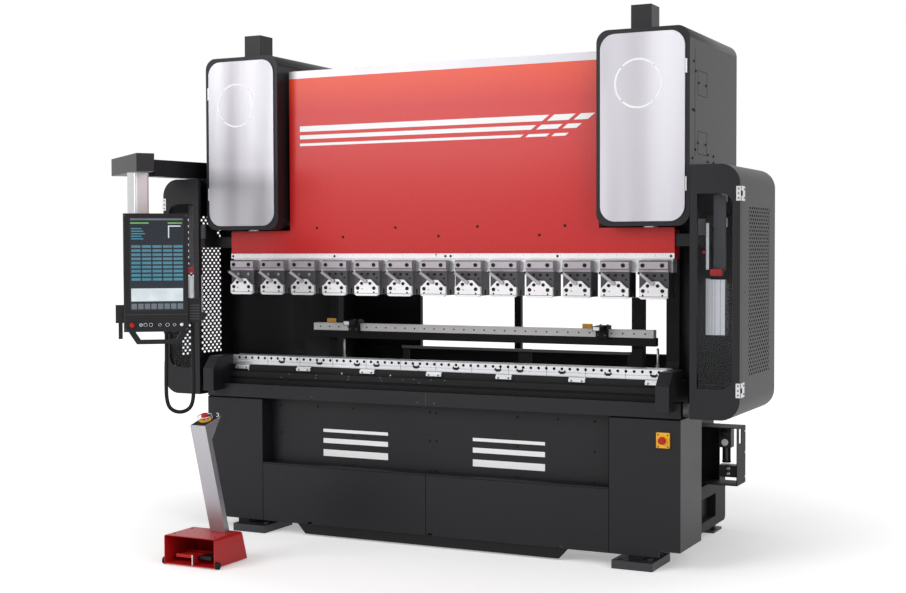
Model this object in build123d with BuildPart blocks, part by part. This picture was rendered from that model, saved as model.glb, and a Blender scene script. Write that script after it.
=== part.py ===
# Servo press brake, 2.5 m class: the ram carries the punch holders down onto the die rail.
# Millimetres. +X to the operator's right, +Y to the back, +Z up.
# Origin: on the floor, in the middle of the four anchor holes of the levelling feet.
from math import atan2, cos, degrees, hypot, pi, radians, sin

from build123d import *
import os

os.makedirs("parts", exist_ok=True)

# Working line
ram_front = -375.0
ram_thickness = 80.0
bend_length = 2590.0
holder_pitch = 200.0
holder_count = 13
holder_width = 150.0
table_top = 960.0
ram_bottom = 1499.0
stroke = 250.0
seat_gap = 0.3

# Side frames
frame_gap = 2210.0
frame_plate = 70.0
frame_back = 725.0
frame_toe = -500.0
throat_back = 85.0
throat_low = 905.0
throat_high = 1560.0
throat_radius = 60.0
shoulder_height = 725.0
beam_bearing = 6.0

# Feet
foot_height = 40.0
foot_width = 210.0
front_foot_length = 285.0
rear_foot_length = 160.0
foot_corner = 8.0
right_foot_x = 1140.0
left_foot_x = -1070.0
rear_foot_x = 1140.0
front_foot_y = -414.5
rear_foot_y = 570.0
rear_foot_height = 12.0
rear_pad_inset = 45.0
anchor_x = 1070.0
anchor_y = 525.0
anchor_hole = 16.0
leveller_radius = 14.0
leveller_height = 10.0
leveller_inset = 75.0
leveller_x = {1: 1210.0, -1: -1000.0}
rear_leveller_x = 1210.0

# Towers over the ram drives
tower_inner = 925.0
tower_width = 472.0
tower_outer = tower_inner + tower_width
tower_low = 1658.0
tower_high = 2611.0
tower_front = ram_front - 91.0
tower_back = 364.0
tower_corner = 62.0
door_margin = 22.0
door_corner = 75.0
door_thickness = 7.0
duct_inner = 1078.0
duct_outer = 1183.0
duct_front = ram_front - 21.0
duct_depth = 123.0
duct_height = 124.0

# Side covers and their doors
cover_inner = tower_outer + 18.0
cover_width = 242.0
cover_outer = cover_inner + cover_width
cover_low = 740.0
cover_high = 1944.0
cover_front = ram_front - 146.0
cover_back = 140.0
cover_corner = 95.0
cover_wall = 6.0
cover_door = 22.0
door_gap = 3.0
window_inset = 35.0
window_low = 887.0
window_high = 1806.0
window_corner = 60.0
pane_thickness = 4.0
pane_inset = 6.0
hinge_heights = (884.0, 1804.0)
hinge_length = 68.0
hinge_radius = 4.7
hinge_offset = 5.0
hinge_pin = 2.0
hinge_leaf = 48.0

# Base covers
column_inner = 1005.0
column_outer = tower_outer - 28.0
column_low = 62.0
column_high = 731.0
column_front = ram_front - 134.0
column_back = -162.0
column_sheet = 6.0
panel_top = 383.0
upper_panel_front = ram_front - 47.0
panel_seam = 3.0
panel_sheet = 3.0


def span(first, second):
    """A low and high pair from two positions, in order."""
    return min(first, second), max(first, second)


def block(x, y, z, mode=Mode.ADD):
    """A box given by its low and high positions along each axis."""
    with Locations(((x[0] + x[1]) / 2, (y[0] + y[1]) / 2, (z[0] + z[1]) / 2)):
        Box(x[1] - x[0], y[1] - y[0], z[1] - z[0], mode=mode)


def rod(centre, radius, low, high, mode=Mode.ADD):
    """An upright round bar or hole between two heights."""
    with Locations((centre[0], centre[1], (low + high) / 2)):
        Cylinder(radius, high - low, mode=mode)


def outline(*points):
    """A closed outline through points, filled."""
    Polygon(*points, align=None)


def turned(origin, angle, height):
    """A level plane at a height, turned about the vertical."""
    return Plane(
        origin=(origin[0], origin[1], height),
        x_dir=(cos(radians(angle)), sin(radians(angle)), 0),
        z_dir=(0, 0, 1),
    )


def save(piece, name):
    """Label a finished piece and write its file."""
    piece.part.label = name
    export_step(piece.part, f"parts/{name}.step")


sides = (-1, 1)
side_names = {-1: "left", 1: "right"}
ram_back = ram_front + ram_thickness
frame_in = frame_gap / 2
frame_out = frame_in + frame_plate
half_length = bend_length / 2
holder_places = [(i - (holder_count - 1) / 2) * holder_pitch for i in range(holder_count)]

# Side frames: plates with the throat that lets a wide sheet reach behind the tools
with BuildPart() as side_frames:
    for side in sides:
        with BuildSketch(Plane.YZ.offset(span(side * frame_in, side * frame_out)[0])):
            outline(
                (frame_toe, foot_height),
                (frame_back, foot_height),
                (frame_back, tower_low),
                (ram_back + beam_bearing, tower_low),
                (ram_back + beam_bearing, throat_high),
                (throat_back, throat_high),
                (throat_back, throat_low),
                (ram_back, throat_low),
                (ram_back, column_high),
                (ram_front, column_high),
                (ram_front, shoulder_height),
                (frame_toe, shoulder_height),
            )
            throat = [v for v in vertices() if abs(v.X - throat_back) < 1]
            fillet(throat, throat_radius)
        extrude(amount=frame_plate)
save(side_frames, "side_frames")

# Levelling feet: thick ones in front, thin plates with a pad and a levelling post at the back
feet_places = (
    (right_foot_x, front_foot_y, front_foot_length, foot_height),
    (left_foot_x, front_foot_y, front_foot_length, foot_height),
    (rear_foot_x, rear_foot_y, rear_foot_length, rear_foot_height),
    (-rear_foot_x, rear_foot_y, rear_foot_length, rear_foot_height),
)
with BuildPart() as feet:
    for x, y, length, height in feet_places:
        with BuildSketch():
            with Locations((x, y)):
                RectangleRounded(foot_width, length, foot_corner)
            with GridLocations(2 * anchor_x, 2 * anchor_y, 2, 2):
                Circle(anchor_hole, mode=Mode.SUBTRACT)
        extrude(amount=height)
    for side in sides:
        for end in (-1, 1):
            post = (leveller_x[side], front_foot_y + end * leveller_inset)
            rod(post, leveller_radius, foot_height, foot_height + leveller_height)
        block(
            span(side * frame_in, side * frame_out),
            (rear_foot_y - rear_pad_inset, rear_foot_y + rear_pad_inset),
            (rear_foot_height, foot_height),
        )
        rod(
            (side * rear_leveller_x, rear_foot_y + rear_pad_inset / 2),
            leveller_radius,
            rear_foot_height,
            foot_height,
        )
save(feet, "levelling_feet")

# Lower beam: a deep plate between the columns, with wings on the frames' shoulders
beam_half = 985.0
beam_low = 100.0
table_beam_low = 805.0
with BuildPart() as lower_beam:
    with BuildSketch(Plane.XZ.offset(-ram_back)):
        outline(
            (-beam_half, beam_low),
            (beam_half, beam_low),
            (beam_half, column_high),
            (half_length, column_high),
            (half_length, table_beam_low),
            (-half_length, table_beam_low),
            (-half_length, column_high),
            (-beam_half, column_high),
        )
    extrude(amount=ram_thickness)
save(lower_beam, "lower_beam")

# Table beam: a grooved ledge below a recess where the die clamps sit
rail_half = 1270.0
rail_low = 908.0
rail_front = ram_front - 29.0
rail_width = 90.0
ledge_front = ram_front - 65.0
ledge_high = 872.0
recess_front = rail_front - 11.0
groove_low = 830.0
groove_height = 12.0
groove_depth = 14.0
with BuildPart() as table_beam:
    with BuildSketch(Plane.YZ.offset(-rail_half)):
        outline(
            (ledge_front, table_beam_low),
            (ledge_front, groove_low),
            (ledge_front + groove_depth, groove_low),
            (ledge_front + groove_depth, groove_low + groove_height),
            (ledge_front, groove_low + groove_height),
            (ledge_front, ledge_high),
            (recess_front, ledge_high),
            (recess_front, rail_low),
            (ram_back, rail_low),
            (ram_back, table_beam_low),
        )
    extrude(amount=2 * rail_half)
save(table_beam, "table_beam")

# Die rail with the V groove in line with the punches and a scribed front
vee_width = 26.0
rail_edge = 2.0
scribe_height = 926.0
scribe_depth = 2.0
die_line = rail_front + rail_width / 2
with BuildPart() as die_rail:
    with BuildSketch(Plane.YZ.offset(-rail_half)):
        outline(
            (rail_front, rail_low),
            (rail_front, scribe_height),
            (rail_front + scribe_depth, scribe_height + scribe_depth),
            (rail_front, scribe_height + 2 * scribe_depth),
            (rail_front, table_top - rail_edge),
            (rail_front + rail_edge, table_top),
            (die_line - vee_width / 2, table_top),
            (die_line, table_top - vee_width / 2),
            (die_line + vee_width / 2, table_top),
            (rail_front + rail_width, table_top),
            (rail_front + rail_width, rail_low),
        )
    extrude(amount=2 * rail_half)
save(die_rail, "die_rail")

clamp_pitch = 400.0
clamp_count = 7
clamp_shift = 7.0
clamp_width = 88.0
clamp_low = ledge_high + 13.0
clamp_nose = 14.0
clamp_step = 14.0
with BuildPart() as die_clamps:
    for i in range(clamp_count):
        x = (i - (clamp_count - 1) / 2) * clamp_pitch + clamp_shift
        with BuildSketch(Plane.YZ.offset(x - clamp_width / 2)):
            outline(
                (recess_front, clamp_low),
                (recess_front - clamp_nose, clamp_low),
                (recess_front - clamp_nose, clamp_low + clamp_step),
                (recess_front - clamp_nose / 2, clamp_low + clamp_step + 2),
                (recess_front - clamp_nose / 2, rail_low - seat_gap),
                (recess_front, rail_low - seat_gap),
            )
        extrude(amount=clamp_width)
save(die_clamps, "die_clamps")

# Apron strip: a folded angle in front of the table beam
apron_low = column_high + 4.0
apron_high = 808.0
apron_sheet = 4.0
with BuildPart() as apron:
    with BuildSketch(Plane.YZ.offset(-column_outer)):
        outline(
            (column_front, apron_low),
            (column_front, apron_high),
            (ledge_front, apron_high),
            (ledge_front, apron_high - apron_sheet),
            (column_front + apron_sheet, apron_high - apron_sheet),
            (column_front + apron_sheet, apron_low),
        )
    extrude(amount=2 * column_outer)
save(apron, "apron_strip")

# End blocks of the table: sloped noses in front of the apron, tied back to the lower beam
end_inner = rail_half + seat_gap
end_outer = 1338.0
nose_front = ram_front - 220.0
nose_low = 772.0
nose_high = 894.0
nose_slope = 63.0
with BuildPart() as table_ends:
    for side in sides:
        low, high = span(side * end_inner, side * end_outer)
        with BuildSketch(Plane.YZ.offset(low)):
            outline(
                (nose_front, nose_low),
                (nose_front, nose_high),
                (nose_front + nose_slope, table_top),
                (ram_front, table_top),
                (ram_front, apron_high),
                (column_front, apron_high),
                (column_front, nose_low),
            )
        extrude(amount=high - low)
        block(
            span(side * half_length, side * end_outer),
            (ram_front, ram_back),
            (column_high, throat_low),
        )
save(table_ends, "table_ends")

# Front panels: trays folded from sheet and open to the beam behind
cable_notches = (-705.0, 25.0, 751.0)
notch_radius = 16.0
with BuildPart() as upper_panel:
    block(
        (-column_inner + seat_gap, column_inner - seat_gap),
        (upper_panel_front, ram_front),
        (panel_top, column_high),
    )
    offset(amount=-panel_sheet, openings=upper_panel.faces().sort_by(Axis.Y)[-1])
save(upper_panel, "upper_front_panel")

with BuildPart() as lower_panels:
    for side in sides:
        block(
            span(side * panel_seam / 2, side * (column_inner - seat_gap)),
            (column_front, ram_front),
            (column_low, panel_top),
        )
        block(
            span(side * (panel_seam / 2 + panel_sheet), side * (column_inner - seat_gap - panel_sheet)),
            (column_front + panel_sheet, ram_front),
            (column_low + panel_sheet, panel_top - panel_sheet),
            Mode.SUBTRACT,
        )
    with BuildSketch(Plane.XZ.offset(-column_front)):
        with Locations([(x, column_low) for x in cable_notches]):
            Circle(notch_radius)
    extrude(amount=-2 * panel_sheet, mode=Mode.SUBTRACT)
save(lower_panels, "lower_front_panels")

kick_top_half = 790.0
kick_bottom_half = 740.0
kick_low = 8.0
kick_front = column_front + 9.0
kick_sheet = 6.0
with BuildPart() as kick_plate:
    with BuildSketch(Plane.XZ.offset(-kick_front - kick_sheet)):
        outline(
            (-kick_bottom_half, kick_low),
            (kick_bottom_half, kick_low),
            (kick_top_half, column_low),
            (-kick_top_half, column_low),
        )
    extrude(amount=kick_sheet)
save(kick_plate, "kick_plate")

# Column covers: box covers over the frames' front feet, open behind
toe_notch_width = 105.0
toe_notch_height = 30.0
with BuildPart() as columns:
    for side in sides:
        block(
            span(side * column_inner, side * column_outer),
            (column_front, column_back),
            (column_low, column_high),
        )
        block(
            span(side * (column_inner + column_sheet), side * (column_outer - column_sheet)),
            (column_front + column_sheet, column_back),
            (column_low, column_high - column_sheet),
            Mode.SUBTRACT,
        )
        block(
            span(side * column_inner, side * (column_outer - column_sheet)),
            (ram_front - seat_gap, column_back),
            (column_high - column_sheet, column_high),
            Mode.SUBTRACT,
        )
        block(
            span(side * (column_outer - toe_notch_width), side * column_outer),
            (column_front, column_back),
            (column_low, column_low + toe_notch_height),
            Mode.SUBTRACT,
        )
save(columns, "column_covers")

# Towers: closed housings over the ball-screw drives, bored for the drive rods
drive_x = tower_inner + 235.0
drive_y = ram_front + ram_thickness / 2
drive_radius = 40.0
drive_clearance = 0.5
shoulder_top = 1640.0
drive_reserve = 45.0
drive_top = shoulder_top + stroke + drive_reserve
tower_middle = (tower_low + tower_high) / 2
tower_places = [(side * (tower_inner + tower_outer) / 2, tower_middle) for side in sides]
tower_height = tower_high - tower_low
with BuildPart() as towers:
    with BuildSketch(Plane.XZ.offset(-tower_back)):
        with Locations(tower_places):
            RectangleRounded(tower_width, tower_height, tower_corner)
    extrude(amount=tower_back - tower_front)
    for side in sides:
        rod(
            (side * drive_x, drive_y),
            drive_radius + drive_clearance,
            tower_low,
            drive_top + drive_clearance,
            Mode.SUBTRACT,
        )
save(towers, "towers")

with BuildPart() as tower_doors:
    with BuildSketch(Plane.XZ.offset(-tower_front)):
        with Locations(tower_places):
            RectangleRounded(tower_width - 2 * door_margin, tower_height - 2 * door_margin, door_corner)
    extrude(amount=door_thickness)
save(tower_doors, "tower_doors")

with BuildPart() as ducts:
    for side in sides:
        block(
            span(side * duct_inner, side * duct_outer),
            (duct_front, duct_front + duct_depth),
            (tower_high, tower_high + duct_height),
        )
save(ducts, "top_ducts")


def cover_shape(side, inner, outer, low, high, corner):
    """A side cover's front view: square at the ram, rounded at the outer corners."""
    with Locations((side * (inner + outer) / 2, (low + high) / 2)):
        Rectangle(outer - inner, high - low)
    corners = [v for v in vertices() if abs(abs(v.X) - outer) < 1]
    fillet(corners, corner)


# Side covers: shells open to the ram and to their front doors
shell_front = cover_front + cover_door + door_gap
with BuildPart() as side_covers:
    for side in sides:
        with BuildSketch(Plane.XZ.offset(-cover_back)):
            cover_shape(side, cover_inner, cover_outer, cover_low, cover_high, cover_corner)
        extrude(amount=cover_back - shell_front)
        with BuildSketch(Plane.XZ.offset(-(cover_back - cover_wall))):
            cover_shape(
                side,
                cover_inner,
                cover_outer - cover_wall,
                cover_low + cover_wall,
                cover_high - cover_wall,
                cover_corner - cover_wall,
            )
        extrude(amount=cover_back - cover_wall - shell_front, mode=Mode.SUBTRACT)
        block(
            span(side * (frame_out + seat_gap), side * cover_inner),
            (cover_back - cover_wall, cover_back),
            (cover_low, tower_low - seat_gap),
        )
save(side_covers, "side_covers")

# Hinges of the cover doors: fixed knuckles with their pins, and the door's knuckle between them
hinge_y = cover_front + 8.0
hinge_x = cover_outer + hinge_offset
knuckle = hinge_length / 3
knuckle_play = 0.5
with BuildPart() as hinges:
    for side in sides:
        for centre in hinge_heights:
            for end in (-1, 1):
                low, high = span(centre + end * hinge_length / 2, centre + end * (knuckle / 2 + knuckle_play))
                rod((side * hinge_x, hinge_y), hinge_radius, low, high)
                block(
                    span(side * (cover_outer + seat_gap), side * (hinge_x - hinge_pin)),
                    (hinge_y, shell_front),
                    (low, high),
                )
            block(
                span(side * cover_outer, side * (hinge_x - hinge_pin)),
                (shell_front, shell_front + hinge_leaf),
                (centre - hinge_length / 2, centre + hinge_length / 2),
            )
            rod(
                (side * hinge_x, hinge_y),
                hinge_pin,
                centre - hinge_length / 2,
                centre + hinge_length / 2,
            )
save(hinges, "cover_hinges")

for side in sides:
    with BuildPart() as door:
        door_back = cover_front + cover_door
        with BuildSketch(Plane.XZ.offset(-door_back)):
            cover_shape(side, cover_inner, cover_outer, cover_low, cover_high, cover_corner)
        extrude(amount=cover_door)
        with BuildSketch(Plane.XZ.offset(-door_back)):
            cover_shape(
                side,
                cover_inner + window_inset,
                cover_outer - window_inset,
                window_low,
                window_high,
                window_corner,
            )
        extrude(amount=cover_door, mode=Mode.SUBTRACT)
        for centre in hinge_heights:
            low, high = centre - knuckle / 2, centre + knuckle / 2
            rod((side * hinge_x, hinge_y), hinge_radius, low, high)
            block(
                span(side * (cover_outer - 1), side * hinge_x),
                (hinge_y - hinge_radius, hinge_y),
                (low, high),
            )
            rod((side * hinge_x, hinge_y), hinge_pin + seat_gap, low, high, Mode.SUBTRACT)
    save(door, f"cover_door_{side_names[side]}")

    with BuildPart() as pane:
        with BuildSketch(Plane.XZ.offset(-(door_back - pane_inset))):
            cover_shape(
                side,
                cover_inner + window_inset,
                cover_outer - window_inset,
                window_low,
                window_high,
                window_corner,
            )
        extrude(amount=pane_thickness)
    save(pane, f"door_window_{side_names[side]}")

# Stays that carry the side covers from the towers and the frames
stay_back = cover_back - cover_wall
stay_depth = 30.0
upper_stay = (cover_high - 240.0, cover_high - 160.0)
lower_stay = (cover_low + 60.0, cover_low + 120.0)
with BuildPart() as stays:
    for side in sides:
        for start, level in ((tower_outer, upper_stay), (frame_out, lower_stay)):
            block(
                span(side * start, side * (cover_outer - cover_corner)),
                (stay_back - stay_depth, stay_back),
                level,
            )
save(stays, "cover_stays")

# Ram: one plate, full width below the towers and narrower between them
ram_half_top = tower_inner - 20.0
ram_high = 2490.0
trim_height = 35.0
with BuildPart() as ram:
    with BuildSketch(Plane.XZ.offset(-ram_back)):
        outline(
            (-half_length, ram_bottom),
            (half_length, ram_bottom),
            (half_length, shoulder_top),
            (ram_half_top, shoulder_top),
            (ram_half_top, ram_high),
            (-ram_half_top, ram_high),
            (-ram_half_top, shoulder_top),
            (-half_length, shoulder_top),
        )
    extrude(amount=ram_thickness)
save(ram, "ram_plate")

with BuildPart() as top_trim:
    block((-ram_half_top, ram_half_top), (ram_front, ram_back), (ram_high, ram_high + trim_height))
save(top_trim, "ram_top_trim")

with BuildPart() as drives:
    for side in sides:
        rod((side * drive_x, drive_y), drive_radius, shoulder_top, drive_top)
save(drives, "drive_rods")

ruler_height = 27.0
ruler_thickness = 4.0
with BuildPart() as ruler:
    block(
        (-half_length, half_length),
        (ram_front - ruler_thickness, ram_front),
        (ram_bottom, ram_bottom + ruler_height),
    )
save(ruler, "ram_ruler")

# Holder rail: the T-shaped bar under the ram that the punch holders hang on
rail_drop = 68.0
hanger_low = ram_bottom - rail_drop
hanger_inset = 8.0
hanger_step = 5.0
hanger_step_height = 7.0
hanger_half = half_length - 10.0
hanger_front = ram_front + hanger_inset
with BuildPart() as hanger:
    with BuildSketch(Plane.YZ.offset(-hanger_half)):
        outline(
            (hanger_front, ram_bottom),
            (hanger_front, hanger_low),
            (ram_back - hanger_inset, hanger_low),
            (ram_back - hanger_inset, ram_bottom),
        )
    extrude(amount=2 * hanger_half)
    for x in [place + holder_pitch / 2 for place in holder_places[:-1]]:
        gap = holder_pitch - holder_width
        block(
            (x - gap / 2, x + gap / 2),
            (hanger_front - hanger_step, hanger_front),
            (hanger_low, hanger_low + hanger_step_height),
        )
save(hanger, "holder_rail")

# Punch holders: a body on the rail, a clamp plate, a jaw and its lever at each pitch
jaw_front = ram_front - 45.0
jaw_thickness = 16.0
jaw_low = 1301.0
jaw_side_high = 1355.0
jaw_high = 1388.0
jaw_inset = 3.0
jaw_chamfer = (12.0, 8.0)
shoulder_left = (10.0, 44.0)
shoulder_right = (105.0, 141.0)
plate_front = jaw_front + 4.0
plate_low = 1434.0
plate_high = 1491.0
plate_bevel = 7.0
body_front = jaw_front + jaw_thickness
body_back = ram_back - 12.0
body_low = 1308.0
slot_width = 14.0
slot_depth = 30.0
pivot_place = (72.0, 1378.0)
pivot_radius = 11.0
pivot_proud = 8.0
lever_width = 14.0
lever_thickness = 5.0
lever_start = (66.0, jaw_front - pivot_proud / 2, 1382.0)
lever_end = (20.0, jaw_front - 42.0, 1428.0)

with BuildPart() as holder_bodies:
    for x in holder_places:
        with BuildSketch(Plane.YZ.offset(x - holder_width / 2)):
            outline(
                (body_front, body_low),
                (die_line - slot_width / 2, body_low),
                (die_line - slot_width / 2, body_low + slot_depth),
                (die_line + slot_width / 2, body_low + slot_depth),
                (die_line + slot_width / 2, body_low),
                (body_back, body_low),
                (body_back, hanger_low),
                (hanger_front, hanger_low),
                (hanger_front, plate_low),
                (body_front, plate_low),
            )
        extrude(amount=holder_width)
save(holder_bodies, "holder_bodies")

with BuildPart() as holder_plates:
    for x in holder_places:
        with BuildSketch(Plane.YZ.offset(x - holder_width / 2)):
            outline(
                (hanger_front, plate_low),
                (plate_front + plate_bevel, plate_low),
                (plate_front + 2, plate_low + plate_bevel + 4),
                (plate_front + 2, plate_low + plate_bevel + 7),
                (plate_front, plate_low + plate_bevel + 9),
                (plate_front, plate_high - plate_bevel),
                (plate_front + plate_bevel, plate_high),
                (hanger_front, plate_high),
            )
        extrude(amount=holder_width)
save(holder_plates, "holder_plates")

with BuildPart() as holder_jaws:
    for x in holder_places:
        edge = x - holder_width / 2
        right = edge + holder_width
        with BuildSketch(Plane.XZ.offset(-body_front)):
            outline(
                (edge + jaw_inset + jaw_chamfer[0], jaw_low),
                (right - jaw_chamfer[0], jaw_low),
                (right, jaw_low + jaw_chamfer[1]),
                (right, jaw_side_high),
                (edge + shoulder_right[1], jaw_side_high),
                (edge + shoulder_right[0], jaw_high),
                (edge + shoulder_left[1], jaw_high),
                (edge + shoulder_left[0], jaw_side_high),
                (edge + jaw_inset, jaw_side_high),
                (edge + jaw_inset, jaw_low + jaw_chamfer[1]),
            )
        extrude(amount=jaw_thickness)
save(holder_jaws, "holder_jaws")

lever_run = [end - start for start, end in zip(lever_start, lever_end)]
lever_length = hypot(*lever_run)
with BuildPart() as levers:
    for x in holder_places:
        edge = x - holder_width / 2
        with BuildSketch(Plane.XZ.offset(-jaw_front)):
            with Locations((edge + pivot_place[0], pivot_place[1])):
                Circle(pivot_radius)
        extrude(amount=pivot_proud)
        lever_plane = Plane(
            origin=(edge + lever_start[0], lever_start[1], lever_start[2]),
            x_dir=(lever_run[1], -lever_run[0], 0),
            z_dir=lever_run,
        )
        with BuildSketch(lever_plane):
            Rectangle(lever_thickness, lever_width)
        extrude(amount=lever_length)
save(levers, "clamp_levers")

# Laser guard carriers: an arm from each end of the ram, forward to an upright profile
carrier_y = ram_front - 65.0
carrier_depth = 25.0
carrier_low = 1137.0
carrier_high = 1690.0
carrier_head = 1400.0
carrier_inner = cover_inner + 55.0
carrier_outer = carrier_inner + 93.0
strip_width = 16.0
arm_level = (1560.0, 1620.0)
arm_depth = 40.0
with BuildPart() as carriers:
    for side in sides:
        block(
            span(side * half_length, side * carrier_inner),
            (ram_front + 10, ram_front + 10 + arm_depth),
            arm_level,
        )
        block(
            span(side * (carrier_inner - arm_depth), side * carrier_inner),
            (carrier_y, ram_front + 10 + arm_depth),
            (arm_level[0], carrier_high),
        )
        block(
            span(side * (carrier_inner - seat_gap), side * (carrier_inner + strip_width)),
            (carrier_y, carrier_y + carrier_depth),
            (carrier_low, carrier_high),
        )
        block(
            span(side * carrier_inner, side * carrier_outer),
            (carrier_y, carrier_y + carrier_depth),
            (carrier_low, carrier_head),
        )
save(carriers, "guard_carriers")

# Rear frame: two cross beams with posts for the rear guard, and the left panel between them
rear_depth = 60.0
rear_beam_levels = ((860.0, 950.0), (throat_high, tower_low - 4.0))
post_width = 41.0
post_depth = 30.0
post_places = (-694.0, -27.0, frame_in - post_width)
with BuildPart() as rear_frame:
    for level in rear_beam_levels:
        block((-frame_in, frame_in), (frame_back - rear_depth, frame_back), level)
    for x in post_places:
        block(
            (x, x + post_width),
            (frame_back - post_depth, frame_back),
            (rear_beam_levels[0][1], rear_beam_levels[1][0]),
        )
save(rear_frame, "rear_frame")

with BuildPart() as rear_panel:
    block(
        (-frame_in, post_places[0]),
        (frame_back - post_depth, frame_back - post_depth + panel_sheet),
        (rear_beam_levels[0][1], rear_beam_levels[1][0]),
    )
save(rear_panel, "rear_panel")

upper_cover_depth = 40.0
with BuildPart() as rear_cover:
    block((-tower_inner, tower_inner), (tower_back - upper_cover_depth, tower_back), (tower_low, ram_high))
save(rear_cover, "rear_upper_cover")

# Rear base boxes outside the frames, each with a pocket for its sockets
base_outer = frame_out + 67.0
base_low = 40.0
base_high = 285.0
base_corner = 30.0
pocket_y = (276.0, 533.0)
pocket_z = (90.0, 215.0)
pocket_depth = 45.0
with BuildPart() as rear_base:
    for side in sides:
        low, high = span(side * frame_out, side * base_outer)
        with BuildSketch(Plane.YZ.offset(low)):
            outline(
                (throat_back, base_low),
                (frame_back, base_low),
                (frame_back, base_high),
                (throat_back, base_high),
            )
            heel = [v for v in vertices() if v.X > frame_back - 1 and v.Y < base_low + 1]
            fillet(heel, base_corner)
        extrude(amount=high - low)
        pocket_x = span(side * base_outer, side * (base_outer - pocket_depth))
        block(pocket_x, pocket_y, pocket_z, Mode.SUBTRACT)
save(rear_base, "rear_base_boxes")

# Air unit in its open bracket at the right
bracket_outer = 1440.0
bracket_back = 406.0
bracket_front = 240.0
bracket_low = 308.0
bracket_high = 612.0
bracket_sheet = 4.0
bracket_plate_end = 1300.0
bracket_slot_y = (279.0, 320.0)
bracket_slot_z = (525.0, 602.0)
with BuildPart() as utility:
    block(
        (frame_out, bracket_plate_end),
        (bracket_back, bracket_back + bracket_sheet),
        (base_high, bracket_high),
    )
    block(
        (frame_out, bracket_outer),
        (bracket_front, bracket_back),
        (bracket_high - bracket_sheet, bracket_high),
    )
    block(
        (base_outer, bracket_outer),
        (bracket_front, bracket_back),
        (bracket_low, bracket_low + bracket_sheet),
    )
    block(
        (bracket_outer - bracket_sheet, bracket_outer),
        (bracket_front, bracket_back),
        (bracket_low, bracket_high),
    )
    block(
        (bracket_outer - bracket_sheet, bracket_outer),
        bracket_slot_y,
        bracket_slot_z,
        Mode.SUBTRACT,
    )
save(utility, "utility_bracket")

regulator_x = 1360.0
regulator_y = 325.0
regulator_size = 64.0
regulator_height = 108.0
bowl_radius = 22.0
bowl_height = 70.0
valve_low = 345.0
valve_height = 63.0
regulator_high = bracket_high - bracket_sheet
regulator_low = regulator_high - regulator_height
with BuildPart() as air_unit:
    block(
        (regulator_x - regulator_size / 2, regulator_x + regulator_size / 2),
        (regulator_y - regulator_size / 2, regulator_y + regulator_size / 2),
        (regulator_low, regulator_high),
    )
    rod((regulator_x, regulator_y), bowl_radius, regulator_low - bowl_height, regulator_low)
    block(
        (regulator_x - regulator_size / 2, bracket_outer - bracket_sheet),
        (regulator_y - regulator_size / 2, regulator_y + regulator_size / 2),
        (valve_low, valve_low + valve_height),
    )
save(air_unit, "air_unit")

# Back gauge: rails on the frames, a carriage for depth, a beam for height, two fingers
gauge_y = 125.0
gauge_half = frame_in - 58.0
rail_level = (740.0, 790.0)
rail_reach = 100.0
shoe_width = 68.0
shoe_inset = 8.0
cross_level = (850.0, 910.0)
guide_top = 1290.0
guide_inner = gauge_half - 147.0
guide_outer = gauge_half - 87.0
beam_level = (1036.0, 1080.0)
silver_level = (1080.0, 1122.0)
with BuildPart() as gauge_rails:
    for side in sides:
        block(
            span(side * (frame_in - rail_reach), side * frame_in),
            (throat_back - 250, frame_back - rear_depth),
            rail_level,
        )
save(gauge_rails, "gauge_rails")

shoe_inner = frame_in - rail_reach + shoe_inset
with BuildPart() as gauge_carriage:
    block((-gauge_half, gauge_half), (gauge_y + 15, gauge_y + 75), cross_level)
    for side in sides:
        block(
            span(side * (shoe_inner + shoe_width), side * shoe_inner),
            (gauge_y - 20, gauge_y + 80),
            (rail_level[1] + seat_gap, cross_level[0]),
        )
        block(
            span(side * guide_outer, side * guide_inner),
            (gauge_y + 5 + seat_gap, gauge_y + 65),
            (cross_level[1], guide_top),
        )
save(gauge_carriage, "gauge_carriage")

with BuildPart() as gauge_beam:
    block((-gauge_half, gauge_half), (gauge_y - 40, gauge_y + 5), beam_level)
save(gauge_beam, "gauge_beam")

with BuildPart() as gauge_rail:
    block((-gauge_half + 10, gauge_half - 10), (gauge_y - 45, gauge_y + 5), silver_level)
save(gauge_rail, "gauge_rail")

finger_x = gauge_half - 290.0
finger_width = 64.0
finger_front = gauge_y - 70.0
finger_low = 1074.0
finger_top = 1142.0
tip_width = 44.0
tip_reach = 75.0
for side in sides:
    with BuildPart() as finger:
        block(
            (side * finger_x - finger_width / 2, side * finger_x + finger_width / 2),
            (finger_front, gauge_y),
            (silver_level[1] + seat_gap, finger_top),
        )
        block(
            (side * finger_x - finger_width / 2, side * finger_x + finger_width / 2),
            (finger_front, gauge_y - 45 - seat_gap),
            (finger_low, finger_top),
        )
        block(
            (side * finger_x - tip_width / 2, side * finger_x + tip_width / 2),
            (finger_front - tip_reach, finger_front),
            (finger_top - 26, finger_top),
        )
    save(finger, f"gauge_finger_{side_names[side]}")

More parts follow.
